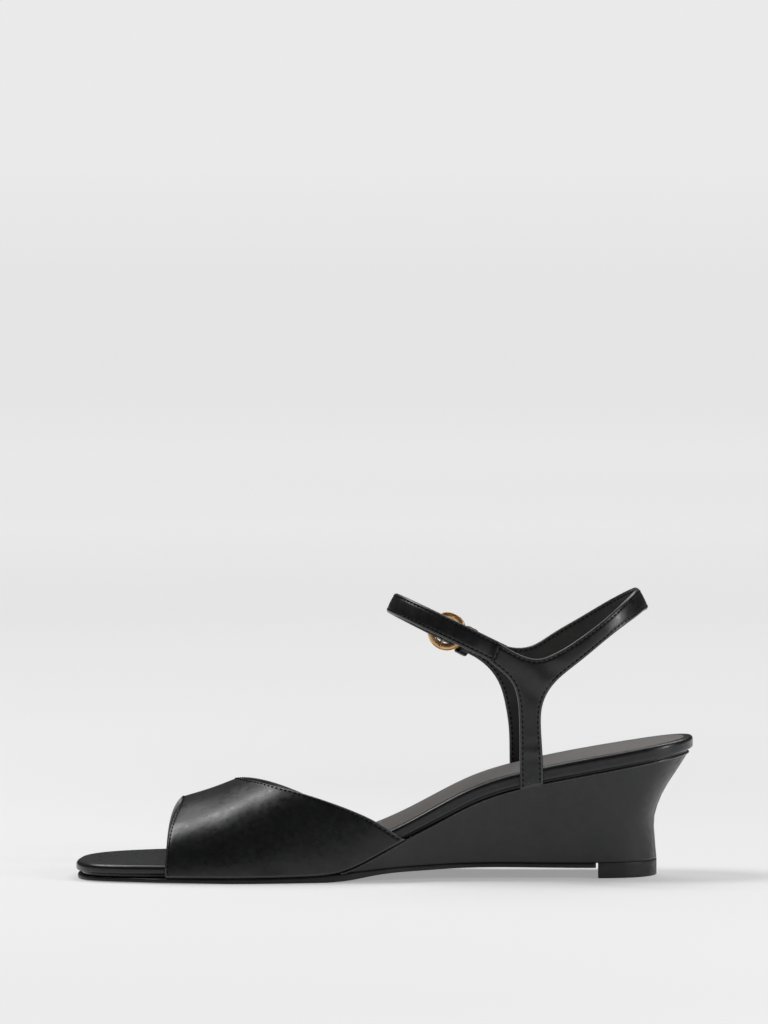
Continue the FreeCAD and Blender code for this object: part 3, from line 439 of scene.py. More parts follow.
def layer(name, outline, low, high, material, slot, low_radius, high_radius, rows, top_relief=None,
          bottom_relief=None, rings=()):
    """A slab of the sole between two heights over a plan outline, with rounded upper and lower edges."""
    outline = np.array(outline)
    flat_surface = lambda p: np.column_stack([p, np.zeros(len(p))])
    boundary = flat_surface(outline)
    angles = np.linspace(0.25, 1.0, 4) * math.pi / 2

    def cap(radius, height, sign, relief):
        insets = list(radius * (1 - np.cos(angles))) + [radius * 1.6, radius * 1.6 + 1.0] + list(rings)
        near_edge = [edge_ring(flat_surface, outline, boundary, inset) for inset in insets]
        field = field_points(flat_surface, [outline], boundary, LAYER_SPACING, max(insets) + 1.5)
        flat, faces = triangulate([outline], np.vstack(near_edge + [field]))
        d = distances(flat_surface(flat), boundary)
        drop = radius - np.sqrt(np.clip(radius ** 2 - (radius - np.clip(d, 0, radius)) ** 2, 0, None))
        z = height(flat[:, 0]) - sign * drop
        if relief is not None:
            z = z + relief(flat, d)
        return np.column_stack([flat, z]), faces

    top, top_faces = cap(high_radius, high, 1.0, top_relief)
    bottom, bottom_faces = cap(low_radius, low, -1.0, bottom_relief)
    n = len(outline)
    verts = [top, bottom]
    faces = list(top_faces) + [tuple(i + len(top) for i in reversed(f)) for f in bottom_faces]
    previous = np.arange(n)
    offset = len(top) + len(bottom)
    for row in range(1, rows + 1):
        if row == rows:
            current = np.arange(n) + len(top)
        else:
            share = row / rows
            x = outline[:, 0]
            z = (high(x) - high_radius) * (1 - share) + (low(x) + low_radius) * share
            verts.append(np.column_stack([outline, z]))
            current = np.arange(n) + offset
            offset += n
        for i in range(n):
            j = (i + 1) % n
            faces.append((previous[i], current[i], current[j], previous[j]))
        previous = current
    obj = make_object(name, np.vstack(verts), faces, material, slot)
    remove_loose(obj)
    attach(obj, "sole")
    return obj


def sweep(path, section, normals, closed_path=False):
    """Verts and faces of a closed section (in its own 2 directions) carried along a path."""
    path = np.array(path, float)
    if closed_path:
        tangent = np.roll(path, -1, axis=0) - np.roll(path, 1, axis=0)
    else:
        tangent = np.gradient(path, axis=0)
    tangent = unit(tangent)
    up = np.array(normals, float)
    if up.ndim == 1:
        up = np.tile(up, (len(path), 1))
    up = unit(up - tangent * (up * tangent).sum(1)[:, None])
    across = np.cross(tangent, up)
    n = len(path)
    section = np.array(section, float)
    if section.ndim == 2:
        section = np.tile(section, (n, 1, 1))
    m = section.shape[1]
    verts = path[:, None, :] + up[:, None, :] * section[:, :, :1] + across[:, None, :] * section[:, :, 1:]
    faces = []
    for i in range(n if closed_path else n - 1):
        k = (i + 1) % n
        for j in range(m):
            q = (j + 1) % m
            faces.append((i * m + j, i * m + q, k * m + q, k * m + j))
    if not closed_path:
        faces.append(tuple(range(m)))
        faces.append(tuple((n - 1) * m + j for j in reversed(range(m))))
    return verts.reshape(-1, 3), faces


def round_section(a, b=None, count=14):
    """A circle, or an ellipse if b is given, as a closed section."""
    b = a if b is None else b
    t = np.linspace(0, 2 * math.pi, count, endpoint=False)
    return np.column_stack([a * np.cos(t), b * np.sin(t)])


def soft_rectangle(half_a, half_b, radius, arc=5):
    """A rectangle with rounded corners, as a closed section."""
    points = []
    for k, (sa, sb) in enumerate(((1, 1), (-1, 1), (-1, -1), (1, -1))):
        for i in range(arc):
            t = (k + i / (arc - 1)) * math.pi / 2
            points.append((sa * (half_a - radius) + radius * math.cos(t),
                           sb * (half_b - radius) + radius * math.sin(t)))
    return points


def joined(pieces):
    """Several (verts, faces) as one."""
    verts, faces, offset = [], [], 0
    for v, f in pieces:
        verts.append(np.array(v, float))
        faces += [tuple(int(i) + offset for i in face) for face in f]
        offset += len(v)
    return np.vstack(verts), faces


def thread(line3, normals3, pitch=STITCH_PITCH, length=STITCH_LENGTH, radius=STITCH_RADIUS):
    """Short stitches along a line on a surface, each dipping into the leather at both ends."""
    count = max(2, int(distance_along(line3)[-1] / pitch))
    both = evenly(np.column_stack([line3, np.array(normals3) * 1e-3]), count * 2 + 1)
    centres, normal = both[:, :3], both[:, 3:]
    pieces = []
    along = np.linspace(-1, 1, 7)
    profile = np.sqrt(np.clip(1 - along ** 4, 0.06, 1))
    for i in range(1, len(centres) - 1, 2):
        tangent = centres[i + 1] - centres[i - 1]
        tangent /= np.linalg.norm(tangent)
        n = normal[i] / np.linalg.norm(normal[i])
        across = np.cross(n, tangent)
        direction = tangent * math.cos(STITCH_SLANT) + across * math.sin(STITCH_SLANT)
        dip = n * (along[:, None] ** 2) * radius * 0.9
        points = centres[i] + direction * along[:, None] * length / 2 - dip
        section = np.array([round_section(radius * p, count=6) for p in profile])
        pieces.append(sweep(points, section, n))
    return joined(pieces)


def seam_stitches(name, surface, seams, thickness, count, body=None):
    """Stitches along seams on a surface, on the outer and the inner face of the leather."""
    parts = []
    for seam in seams:
        position, normal, _, _ = frames(surface, evenly(seam, count))
        for side in (1, -1):
            lift = side * (thickness / 2 + STITCH_LIFT)
            parts.append(thread(position + normal * lift, normal * side))
    return make_object(name, *joined(parts), THREAD, "black_leather", body)


# ---------------------------------------------------------------- materials
def new_material(name, colour, roughness, metallic=0.0, coat=0.0, sheen=0.0, specular=0.5):
    material = bpy.data.materials.new(name)
    material.use_nodes = True
    shader = material.node_tree.nodes["Principled BSDF"]
    settings = {"Base Color": (*colour, 1.0), "Roughness": roughness, "Metallic": metallic,
                "Specular IOR Level": specular, "Coat Weight": coat, "Coat Roughness": 0.32,
                "Sheen Weight": sheen, "Sheen Roughness": 0.5}
    for setting, value in settings.items():
        shader.inputs[setting].default_value = value
    return material, shader, material.node_tree


def new_node(tree, kind, inputs):
    """A node whose inputs are given values or linked from other nodes."""
    node = tree.nodes.new(kind)
    for name, value in inputs.items():
        if isinstance(value, bpy.types.NodeSocket):
            tree.links.new(value, node.inputs[name])
        else:
            node.inputs[name].default_value = value
    return node


def place_vector(tree):
    return tree.nodes.new("ShaderNodeTexCoord").outputs["Object"]


def noise(tree, scale, detail=3.0, roughness=0.55):
    node = new_node(tree, "ShaderNodeTexNoise", {"Vector": place_vector(tree), "Scale": scale,
                                                 "Detail": detail, "Roughness": roughness})
    return node.outputs["Fac"]


def cells(tree, scale):
    node = tree.nodes.new("ShaderNodeTexVoronoi")
    node.feature = "SMOOTH_F1"
    node.inputs["Scale"].default_value = scale
    tree.links.new(place_vector(tree), node.inputs["Vector"])
    return node.outputs["Distance"]


def ranged(tree, value, low, high):
    """A noise spread over a range of values."""
    node = new_node(tree, "ShaderNodeMapRange", {"Value": value, "From Min": 0.3, "From Max": 0.7,
                                                 "To Min": low, "To Max": high})
    return node.outputs["Result"]


def ramp(tree, value, stops):
    """Colours along a value, from (place, colour) pairs."""
    node = new_node(tree, "ShaderNodeValToRGB", {"Fac": value})
    elements = node.color_ramp.elements
    while len(elements) < len(stops):
        elements.new(1.0)
    for element, (place, colour) in zip(elements, stops):
        element.position = place
        element.color = (*colour, 1.0)
    return node.outputs["Color"]


def colours(tree, value, dark, light):
    """A noise spread between two colours."""
    return ramp(tree, value, [(0.3, dark), (0.7, light)])


def bumped(tree, shader, layers):
    """Bump from several (height, strength, distance in mm) one over the other."""
    normal = None
    for height, strength, depth in layers:
        inputs = {"Height": height, "Strength": strength, "Distance": depth * MM}
        node = new_node(tree, "ShaderNodeBump", inputs)
        if normal is not None:
            tree.links.new(normal, node.inputs["Normal"])
        normal = node.outputs["Normal"]
    tree.links.new(normal, shader.inputs["Normal"])


def leather(name, dark, light, roughness, grain=0.35, coat=0.15):
    """Smooth leather: soft large waves, fine grain, uneven shine."""
    material, shader, tree = new_material(name, dark, roughness, coat=coat)
    wide = noise(tree, 90.0, 2.0)
    tree.links.new(colours(tree, wide, dark, light), shader.inputs["Base Color"])
    shine = ranged(tree, noise(tree, 420.0), roughness - 0.06, roughness + 0.09)
    tree.links.new(shine, shader.inputs["Roughness"])
    bumped(tree, shader, [(wide, 0.35, 0.5), (noise(tree, 650.0, 2.0), grain, 0.08),
                          (cells(tree, 1500.0), grain * 0.4, 0.05)])
    return material


def fabric(name, dark, light):
    """Brushed microfibre with a soft nap."""
    material, shader, tree = new_material(name, dark, 0.92, sheen=0.35, specular=0.2)
    tree.links.new(colours(tree, noise(tree, 260.0, 5.0, 0.7), dark, light), shader.inputs["Base Color"])
    bumped(tree, shader, [(noise(tree, 1400.0, 4.0, 0.7), 0.5, 0.12)])
    return material


def rubber(name, dark, light):
    """Matt rubber with an uneven shine."""
    material, shader, tree = new_material(name, dark, 0.62, specular=0.4)
    tree.links.new(colours(tree, noise(tree, 200.0, 4.0), dark, light), shader.inputs["Base Color"])
    tree.links.new(ranged(tree, noise(tree, 500.0), 0.36, 0.5), shader.inputs["Roughness"])
    bumped(tree, shader, [(noise(tree, 1800.0, 3.0), 0.4, 0.06)])
    return material


def metal(name, dark, light, roughness):
    """Plated metal, a little cloudy, with fine scratches."""
    material, shader, tree = new_material(name, light, roughness, metallic=1.0)
    tree.links.new(colours(tree, noise(tree, 350.0, 4.0), dark, light), shader.inputs["Base Color"])
    shine = ranged(tree, noise(tree, 900.0, 5.0), roughness - 0.08, roughness + 0.12)
    tree.links.new(shine, shader.inputs["Roughness"])
    bumped(tree, shader, [(noise(tree, 2600.0, 4.0), 0.06, 0.03)])
    return material


def twisted(name, dark, light):
    """Thread: tiny slanting ridges."""
    material, shader, tree = new_material(name, dark, 0.8, specular=0.15)
    wave = tree.nodes.new("ShaderNodeTexWave")
    wave.bands_direction = "DIAGONAL"
    wave.inputs["Scale"].default_value = 1200.0
    tree.links.new(place_vector(tree), wave.inputs["Vector"])
    tree.links.new(colours(tree, wave.outputs["Fac"], dark, light), shader.inputs["Base Color"])
    bumped(tree, shader, [(wave.outputs["Fac"], 0.5, 0.06)])
    return material


BLACK = leather("Black leather", (0.0050, 0.0052, 0.0058), (0.0085, 0.0088, 0.0096), 0.32, 0.16)
WEDGE_BLACK = leather("Wedge leather", (0.0060, 0.0062, 0.0068), (0.0100, 0.0104, 0.0112), 0.42)
# The wedge's rolled top edge: a real glaze gives the gloss, and its colour, lighter than the wedge leather,
# is a painted highlight along the edge.
BEAD_GLAZE_HIGHLIGHT = leather("Glazed edge with painted highlight", (0.020, 0.020, 0.021), (0.032, 0.032, 0.033), 0.26, 0.1, 0.4)
LINING = leather("Lining leather", (0.013, 0.0125, 0.012), (0.021, 0.020, 0.019), 0.55, 0.2, 0.0)
# Edge paint, glossier than the leather; its lighter colour is a painted highlight of the edges catching the
# light.
EDGE_PAINT_HIGHLIGHT = leather("Edge paint with painted highlight", (0.020, 0.020, 0.021), (0.036, 0.036, 0.037), 0.36, 0.15, 0.3)
MICROFIBRE = fabric("Taupe microfibre", (0.095, 0.083, 0.075), (0.135, 0.118, 0.107))
RUBBER = rubber("Sole rubber", (0.010, 0.010, 0.0105), (0.018, 0.018, 0.0185))
GOLD = metal("Antique gold", (0.66, 0.40, 0.18), (0.82, 0.54, 0.27), 0.36)
THREAD = twisted("Black thread", (0.0015, 0.0015, 0.0016), (0.005, 0.005, 0.0052))


# ---------------------------------------------------------------- footbed and sole
def footbed_margin(x):
    """Height of the footbed's underside, above its turned-in margin."""
    return sole_z(x) + MARGIN_THICKNESS


def sock_recess(flat, edge_distance):
    """The wrap dips by the sock's thickness where the sock lies."""
    covered = (edge_distance > SOCK_INSET + 0.3) & (flat[:, 0] > SOCK_FRONT_X + 0.5)
    return np.where(covered, -SOCK_THICKNESS - 0.3, 0.0)


def footbed():
    """The leather-wrapped footbed, and the narrower margin of leather turned in under it."""
    piece = layer("footbed_leather", footbed_outline, footbed_margin, top_z, BLACK, "black_leather",
                  low_radius=0.8, high_radius=1.5, rows=5, top_relief=sock_recess)
    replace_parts(piece, "footbed_wrap")
    inset = moved_outward(footbed_outline, -MARGIN_INSET)
    layer("footbed_margin", inset, sole_z, lambda x: footbed_margin(x) + 0.2, BLACK, "black_leather",
          low_radius=0.3, high_radius=0.3, rows=2)


def cut_across(outline, keep, count):
    """The kept part of a closed outline, closed again by a straight edge."""
    kept = outline[keep]
    start = int(np.argmax(np.linalg.norm(np.diff(kept, axis=0), axis=1))) + 1
    ordered = np.roll(kept, -start, axis=0)
    straight = np.linspace(ordered[-1], ordered[0], 42)[1:-1]
    return evenly(np.vstack([ordered, straight, ordered[:1]]), count, closed=True)


def sock():
    """The soft footbed cover, stopped by a straight edge ahead of the ball of the foot."""
    inset = moved_outward(footbed_outline, -SOCK_INSET)
    loop = cut_across(inset, inset[:, 0] > SOCK_FRONT_X, 520)
    piece = layer("sock_cover", loop, lambda x: top_z(x) - SOCK_THICKNESS, lambda x: top_z(x) + 0.1,
                  MICROFIBRE, "sock_fabric", low_radius=0.2, high_radius=0.5, rows=2)
    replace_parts(piece, "sock_lining")


def wedge_taper(x, z):
    """How much narrower the wedge is than the sole, as a factor, further down."""
    drop = np.clip((sole_z(x) - z) / WEDGE_TAPER_HEIGHT, 0.0, 1.0)
    return 1.0 - WEDGE_TAPER * drop ** 0.8


def outsole():
    """Thin rubber sole, recessed underneath inside its border for the tread."""
    narrow = flared_outline.copy()
    rear = narrow[:, 0] > -20.0
    narrow[rear, 1] *= wedge_taper(narrow[rear, 0], 5.0)
    loop = cut_across(narrow, narrow[:, 0] < HEEL_BREAST_X + 0.2, 560)
    recess = lambda flat, d: TREAD_DEPTH * np.clip((d - TREAD_BORDER + 1.0) / 0.6, 0, 1)
    piece = layer("outsole_rubber", loop, lambda x: np.maximum(outsole_bottom_z(x), 0.0), outsole_top_z,
                  RUBBER, "sole_rubber", low_radius=0.35, high_radius=0.7, rows=3, bottom_relief=recess,
                  rings=(TREAD_BORDER - 1.0, TREAD_BORDER - 0.4))
    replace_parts(piece, "outsole")


def tread():
    """Raised chevron bars under the forefoot, inside a flat border."""
    half = side_of(flared_outline, 1)
    other = side_of(flared_outline, -1)
    pieces = []
    for x in np.arange(TREAD_FRONT_X, TREAD_REAR_X, TREAD_PITCH):
        for side, width in ((1, half), (-1, other)):
            reach = float(min(width(x), width(x + 4.0))) * TREAD_REACH - TREAD_BORDER
            ys = np.linspace(0.8, reach, 14)
            path_x = x + 4.0 * ys / reach
            z = np.maximum(outsole_bottom_z(path_x), 0.0) + TREAD_DEPTH / 2
            path = np.column_stack([path_x, side * ys, z])
            pieces.append(sweep(path, soft_rectangle(TREAD_DEPTH / 2, TREAD_PITCH * 0.32, 0.25), (0, 0, 1)))
    make_object("tread_bars", *joined(pieces), RUBBER, "sole_rubber", "sole")


def heel_lift():
    """Rubber block under the heel."""
    level = wedge_outline(LIFT_TOP_Z)
    kept = level[level[:, 0] > HEEL_BREAST_X]
    front = np.linspace(kept[-1], kept[0], 60)[1:-1]
    loop = evenly(np.vstack([kept, front, kept[:1]]), 420, closed=True)
    piece = layer("heel_lift_rubber", loop, lambda x: x * 0.0, lambda x: x * 0.0 + LIFT_TOP_Z - 0.05,
                  RUBBER, "sole_rubber", low_radius=0.5, high_radius=0.2, rows=5)
    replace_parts(piece, "heel_top_lift")


def wedge_outline(z):
    """The wedge's open outline at one height, from its inner front end round to the outer one."""
    return wedge_point(wedge_line(WEDGE_TIP_X - 8.0), z)


def wedge_point(line, z):
    """Plan points of the sole's outline brought in to the wedge's side and back at a height."""
    x, y = line[:, 0], line[:, 1]
    z = np.broadcast_to(z, x.shape)
    pull = np.clip((x - WEDGE_PULL_FROM_X) / WEDGE_PULL_LENGTH, 0.0, None) ** 1.5
    moved_x = x - (WEDGE_BACK_TOP_X - wedge_back(z)) * np.minimum(pull, 1.0)
    return np.column_stack([moved_x, y * wedge_taper(x, z)])


def wedge_line(tip_x):
    """The sole's open plan outline behind a place, from the inner side round to the outer one."""
    line = flared_outline[np.argsort(np.arctan2(flared_outline[:, 1], flared_outline[:, 0] - 20.0))]
    return line[line[:, 0] > tip_x]


def wedge_bead():
    """The thin rolled edge along the top of the wedge."""
    line = evenly(wedge_line(WEDGE_TIP_X), 420)
    z = sole_z(line[:, 0]) - BEAD_RADIUS
    level = wedge_point(line, z)
    verts, faces = sweep(np.column_stack([level, z]), round_section(BEAD_RADIUS, count=12), (0, 0, 1))
    # The bead's lighter glazed material carries a painted highlight along the top of the wedge.
    make_object("wedge_bead", verts, faces, BEAD_GLAZE_HIGHLIGHT, "black_leather", "sole")


def wedge_cover():
    """Leather round the wedge, tightly turned in at its upper and lower edges."""
    line = evenly(wedge_line(WEDGE_TIP_X), 620)
    low, high = outsole_top_z(line[:, 0]), sole_z(line[:, 0])
    tall = np.maximum(high - low, 0.05)
    shares = [-0.01, 0.0, 0.01, 0.03, 0.06, 0.1, 0.2, 0.3, 0.4, 0.5, 0.6, 0.7, 0.8, 0.88, 0.94, 0.97,
              0.99, 1.0, 1.01]
    rows = []
    for share in shares:
        from_edge = np.minimum(np.clip(share, 0, 1), 1 - np.clip(share, 0, 1)) * tall
        turn = WEDGE_EDGE * (1 - rounded(from_edge, WEDGE_EDGE))
        if share < 0 or share > 1:
            turn = turn + WEDGE_TURN_IN
        z = low + tall * np.clip(share, 0.0, 1.0)
        level = wedge_point(line, z)
        tangent = unit(np.gradient(level, axis=0))
        level = level - np.stack([tangent[:, 1], -tangent[:, 0]], axis=1) * turn[:, None]
        rows.append(np.column_stack([level, z]))
    n = len(line)
    faces = []
    for r in range(len(rows) - 1):
        for i in range(n - 1):
            faces.append((r * n + i, r * n + i + 1, (r + 1) * n + i + 1, (r + 1) * n + i))
    obj = make_object("wedge_leather", np.vstack(rows), faces, WEDGE_BLACK, "black_leather", "sole")
    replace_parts(obj, "wedge_cover")


# ---------------------------------------------------------------- vamp
vamp_inner_side = side_of(footbed_outline, -1)
vamp_outer_side = side_of(footbed_outline, 1)


def arch(flat):
    """The vamp's middle surface: x along the foot, v round the arch from the inner to the outer side."""
    x, angle = flat[:, 0], flat[:, 1] / ARCH_SCALE
    half = VAMP_THICKNESS / 2
    left = vamp_outer_side(x) + half
    right = vamp_inner_side(x) + half
    foot = sole_z(x)
    rise = vamp_crest(x) - half - foot
    across = np.sign(np.cos(angle)) * np.abs(np.cos(angle)) ** VAMP_ROUNDNESS
    up = np.sign(np.sin(angle)) * np.abs(np.sin(angle)) ** VAMP_ROUNDNESS
    y = np.where(across > 0, -right * across, -left * across)
    return np.column_stack([x, y, foot + rise * up])


def arch_side(points):
    """A side-view edge as distance along the foot and angle up the arch."""
    line = smooth(points, 160)
    if line[0, 1] > line[-1, 1]:
        line = line[::-1]
    x, z = line[:, 0], line[:, 1]
    foot = sole_z(x)
    share = np.clip((z - foot) / (vamp_crest(x) - VAMP_THICKNESS / 2 - foot), 0.0, None)
    over = share >= 1.0
    if over.any():
        last = int(np.argmax(over))
        x, share = x[:last], share[:last]
    return x, np.arcsin(share ** (1 / VAMP_ROUNDNESS))


def arch_edge(inner_points, outer_points):
    """An edge of the vamp as arch points, from its foot on the inner side over to the outer side."""
    x, angle = arch_side(inner_points)
    inner = np.column_stack([x, angle * ARCH_SCALE])
    x, angle = arch_side(outer_points)
    outer = np.column_stack([x, (math.pi - angle) * ARCH_SCALE])[::-1]
    whole = np.vstack([inner, outer])
    gap = np.abs(whole[:, 1] - math.pi / 2 * ARCH_SCALE) > 6.0
    return smooth(evenly(whole[gap], 40), 260)


def vamp_relief(flat, distance):
    """Very soft waves where the toes bend."""
    wave = np.sin((flat[:, 0] + 0.35 * arch(flat)[:, 2]) / 5.2)
    flex = 0.12 * wave * np.exp(-((flat[:, 0] + 44.0) / 16.0) ** 2)
    return flex * np.clip(distance / 3.0, 0, 1)


def vamp():
    """The wide band over the forefoot, with stitched front and rear edges."""
    front = arch_edge(VAMP_FRONT_EDGE, VAMP_FRONT_EDGE)
    rear = arch_edge(VAMP_REAR_EDGE, VAMP_REAR_EDGE_OUTER)
    top = math.pi * ARCH_SCALE
    front[0, 1], rear[0, 1] = 0.0, 0.0
    front[-1, 1], rear[-1, 1] = top, top
    inner_foot = np.linspace(front[0], rear[0], 240)[1:-1]
    outer_foot = np.linspace(rear[-1], front[-1], 240)[1:-1]
    loop = np.vstack([inner_foot, rear, outer_foot, front[::-1]])
    inset = inward_loop(arch, loop, STITCH_INSET)
    first_rear, last_rear = len(inner_foot), len(inner_foot) + len(rear)
    first_front = last_rear + len(outer_foot)
    seams = [inset[first_rear + 3:last_rear - 3], inset[first_front + 3:-3]]
    piece = leather_panel("vamp_leather", arch, [loop], VAMP_THICKNESS, 1.7, "sole", vamp_relief, seams)
    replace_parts(piece, "vamp_outer", "vamp_tape", "vamp_lining")
    seam_stitches("vamp_stitches", arch, seams, VAMP_THICKNESS, 400, "sole")


# ---------------------------------------------------------------- ankle collar
loop_plan = smooth(LOOP, 1600, closed=True)
loop_closed = np.vstack([loop_plan, loop_plan[:1]])
loop_s = distance_along(loop_closed)
LOOP_LENGTH = loop_s[-1]
front_index = int(np.argmin(loop_plan[:, 0]))


def shrink(z):
    """How much shorter the leaning tube is at a height, as a factor."""
    return 1.0 - LOOP_LEAN * (z - LOOP_Z)


def tube(flat):
    """The leaning tube the collar lies on: s round it from the back, then z."""
    s = np.mod(flat[:, 0], LOOP_LENGTH)
    x = np.interp(s, loop_s, loop_closed[:, 0])
    y = np.interp(s, loop_s, loop_closed[:, 1])
    return np.column_stack([LOOP_MIDDLE_X + (x - LOOP_MIDDLE_X) * shrink(flat[:, 1]), y, flat[:, 1]])


def on_tube(line, side):
    """A side-view line on one side of the tube, as (s, z); s is negative on the inner side."""
    plan_x = LOOP_MIDDLE_X + (line[:, 0] - LOOP_MIDDLE_X) / shrink(line[:, 1])
    keep = plan_x < loop_plan[0, 0] - 0.05
    plan_x, z = plan_x[keep], line[keep, 1]
    if side > 0:
        xs, ss = loop_plan[:front_index, 0], loop_s[:front_index]
    else:
        xs, ss = loop_closed[front_index:, 0], loop_s[front_index:] - LOOP_LENGTH
    order = np.argsort(xs)
    return np.column_stack([np.interp(plan_x, xs[order], ss[order]), z])


def over_back(first, second):
    """Two side lines that meet behind the heel, as one smooth line on the tube."""
    whole = np.vstack([first, second])
    whole = whole[np.abs(whole[:, 0]) > 5.0]
    return smooth(evenly(whole, 60), 700)


def collar_loop():
    """Outline of the collar on the tube, counter-clockwise, and its named edges."""
    medial_front = on_tube(smooth(MEDIAL_FRONT, 260), -1)[::-1]
    medial_back, medial_top = [on_tube(smooth(p, 300), -1)[::-1] for p in (MEDIAL_BACK, MEDIAL_TOP)]
    lateral_back, lateral_front, lateral_top = [
        on_tube(smooth(p, 300), 1) for p in (LATERAL_BACK, LATERAL_FRONT, LATERAL_TOP)]
    lower = over_back(medial_back, lateral_back)
    upper = over_back(lateral_top, medial_top)
    edges = [medial_front, lower, lateral_front, upper]
    loop, spans = [], []
    for i, edge in enumerate(edges):
        following = edges[(i + 1) % 4]
        spans.append((len(loop), len(loop) + len(edge)))
        loop += list(edge)
        gap = np.linalg.norm(following[0] - edge[-1])
        loop += list(np.linspace(edge[-1], following[0], max(3, int(gap / 0.5)))[1:-1])
    return np.array(loop), spans


def collar_relief(flat, distance):
    """Shallow creases where the arms and the leg meet, and a slight crown across the straps."""
    s, z = flat[:, 0], flat[:, 1]
    crown = STRAP_CROWN * np.clip(distance / 3.6, 0, 1) ** 0.7
    crease = np.zeros(len(flat))
    for centre in (-54.0, 52.0):
        near = np.exp(-(((s - centre) / 9.0) ** 2 + ((z - 76.0) / 9.0) ** 2))
        crease = crease + near * (0.28 * np.cos((s - centre) / 2.3 + 0.35 * (z - 76.0)))
        low = np.exp(-(((s - centre) / 8.0) ** 2 + ((z - 50.0) / 5.0) ** 2))
        crease = crease + low * 0.14 * np.sin(z / 1.1)
    return crown + crease * np.clip(distance / 2.5, 0, 1)


def collar():
    """The Y-sided ankle collar, sewn all round."""
    loop, spans = collar_loop()
    inset = inward_loop(tube, loop, STITCH_INSET)
    seams = [inset[a + 4:b - 4] for a, b in spans]
    end_start, end_stop = spans[3][1], len(loop)
    seams.append(inset[end_start - 3:end_stop])
    piece = leather_panel("collar_leather", tube, [loop], STRAP_THICKNESS, 1.15, None, collar_relief, seams)
    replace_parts(piece, "collar_outer", "collar_tape", "collar_lining", "leg_anchor_medial",
                "leg_anchor_lateral")
    stitches = seam_stitches("collar_stitches", tube, seams, STRAP_THICKNESS, 500)
    for each in (piece, stitches):
        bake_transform(each)


# ---------------------------------------------------------------- front strap
WIDTH_AXIS = np.array([PLANE_MX, PLANE_MY, 1.0]) / math.sqrt(PLANE_MX ** 2 + PLANE_MY ** 2 + 1.0)


def on_strap_plane(plan):
    """Plan points of the tube raised to the slanting plane of the front strap."""
    d = plan[:, 0] - LOOP_MIDDLE_X
    factor = 1.0 - PLANE_MX * d * LOOP_LEAN
    lowered = PLANE_MX * (LOOP_MIDDLE_X + d * (1.0 + LOOP_LEAN * LOOP_Z))
    z = (PLANE_Z - lowered - PLANE_MY * plan[:, 1]) / factor
    return np.column_stack([LOOP_MIDDLE_X + d * shrink(z), plan[:, 1], z])


strap_rise = steps(STRAP_RISE)
seam_dip = steps(SEAM_DIP)


def strap_middle():
    """Middle line of the front strap from the inner seam round to the tip of its tail."""
    inner = loop_closed[front_index:]
    inner = inner[np.argsort(inner[:, 0])][::-1]
    outer = loop_plan[:front_index + 1]
    outer = outer[np.argsort(outer[:, 0])]
    inner3, outer3 = on_strap_plane(inner), on_strap_plane(outer)
    inner3 = inner3[inner3[:, 0] < STRAP_SEAM_X]
    outer3 = outer3[outer3[:, 0] < BUCKLE_X + TAIL_LENGTH * STRAP_SLOPE]
    line = evenly(np.vstack([inner3, outer3[1:]]), 900)
    outward = np.cross(WIDTH_AXIS, unit(np.gradient(line, axis=0)))
    outward *= np.sign((outward * (line - line.mean(axis=0))).sum(1))[:, None]
    x = line[:, 0]
    rise = np.where(line[:, 1] > 0, strap_rise((BUCKLE_X - x) / STRAP_SLOPE), -seam_dip(x))
    kernel = np.exp(-(np.arange(-12, 13) / 5.0) ** 2)
    rise = np.convolve(np.pad(rise, 12, mode="edge"), kernel / kernel.sum(), mode="valid")
    return evenly(line + outward * rise[:, None], 900)


strap_line = strap_middle()
strap_s = distance_along(strap_line)
STRAP_LENGTH = strap_s[-1]


def band(flat):
    """The front strap's middle surface: along the strap, then across it downward."""
    extra = flat[:, 0] - np.clip(flat[:, 0], 0, STRAP_LENGTH)
    point = np.column_stack([np.interp(flat[:, 0], strap_s, strap_line[:, i]) for i in range(3)])
    end_direction = np.where((extra < 0)[:, None], strap_line[4] - strap_line[0],
                             strap_line[-1] - strap_line[-5])
    return point + unit(end_direction) * extra[:, None] - WIDTH_AXIS * flat[:, 1:2]


def band_place(x):
    """Distance along the strap where its outer side reaches side-view x."""
    outer = strap_line[:, 1] > 0
    return float(np.interp(x, strap_line[outer, 0], strap_s[outer]))


def round_hole(along, radius, count=40):
    """Clockwise outline of a round hole in the strap's middle."""
    t = np.linspace(0, 2 * math.pi, count, endpoint=False)
    return np.column_stack([along + radius * np.cos(t), -radius * np.sin(t)])


def strap_relief(flat, distance):
    """A slight crown across the strap."""
    return STRAP_CROWN * np.clip(distance / 3.4, 0, 1) ** 0.7


def front_strap():
    """The strap round the instep, with its row of holes and the slot that the prong turns in."""
    w = STRAP_HALF_WIDTH
    tip = STRAP_LENGTH
    count = int(STRAP_LENGTH / 0.45)
    low_edge = np.column_stack([np.linspace(0, tip - w, count), np.full(count, -w)])
    t = np.linspace(-math.pi / 2, math.pi / 2, 40)[1:-1]
    rounded = np.column_stack([tip - w + w * np.cos(t), w * np.sin(t)])
    high_edge = low_edge[::-1] * np.array([1, -1])
    end = np.linspace(high_edge[-1], low_edge[0], 18)[1:-1]
    loop = np.vstack([low_edge, rounded, high_edge, end])
    bar = band_place(BUCKLE_X)
    holes = [round_hole(bar + k * HOLE_PITCH, HOLE_RADIUS) for k in (-2, -1, 1, 2)]
    slot = round_hole(bar, HOLE_RADIUS, 44)
    slot[:, 0] += np.where(slot[:, 0] > bar, SLOT_REAR, -SLOT_FRONT)
    inset = inward_loop(band, loop, STITCH_INSET)
    seam = inset[6:len(loop) - len(end) - 6]
    piece = leather_panel("front_strap_leather", band, [loop, slot] + holes, STRAP_THICKNESS, 1.0,
                          "ankle_collar", strap_relief, [seam])
    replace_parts(piece, "front_strap_outer", "front_strap_tape", "front_strap_lining")
    seam_stitches("front_strap_stitches", band, [seam], STRAP_THICKNESS, 900, "ankle_collar")


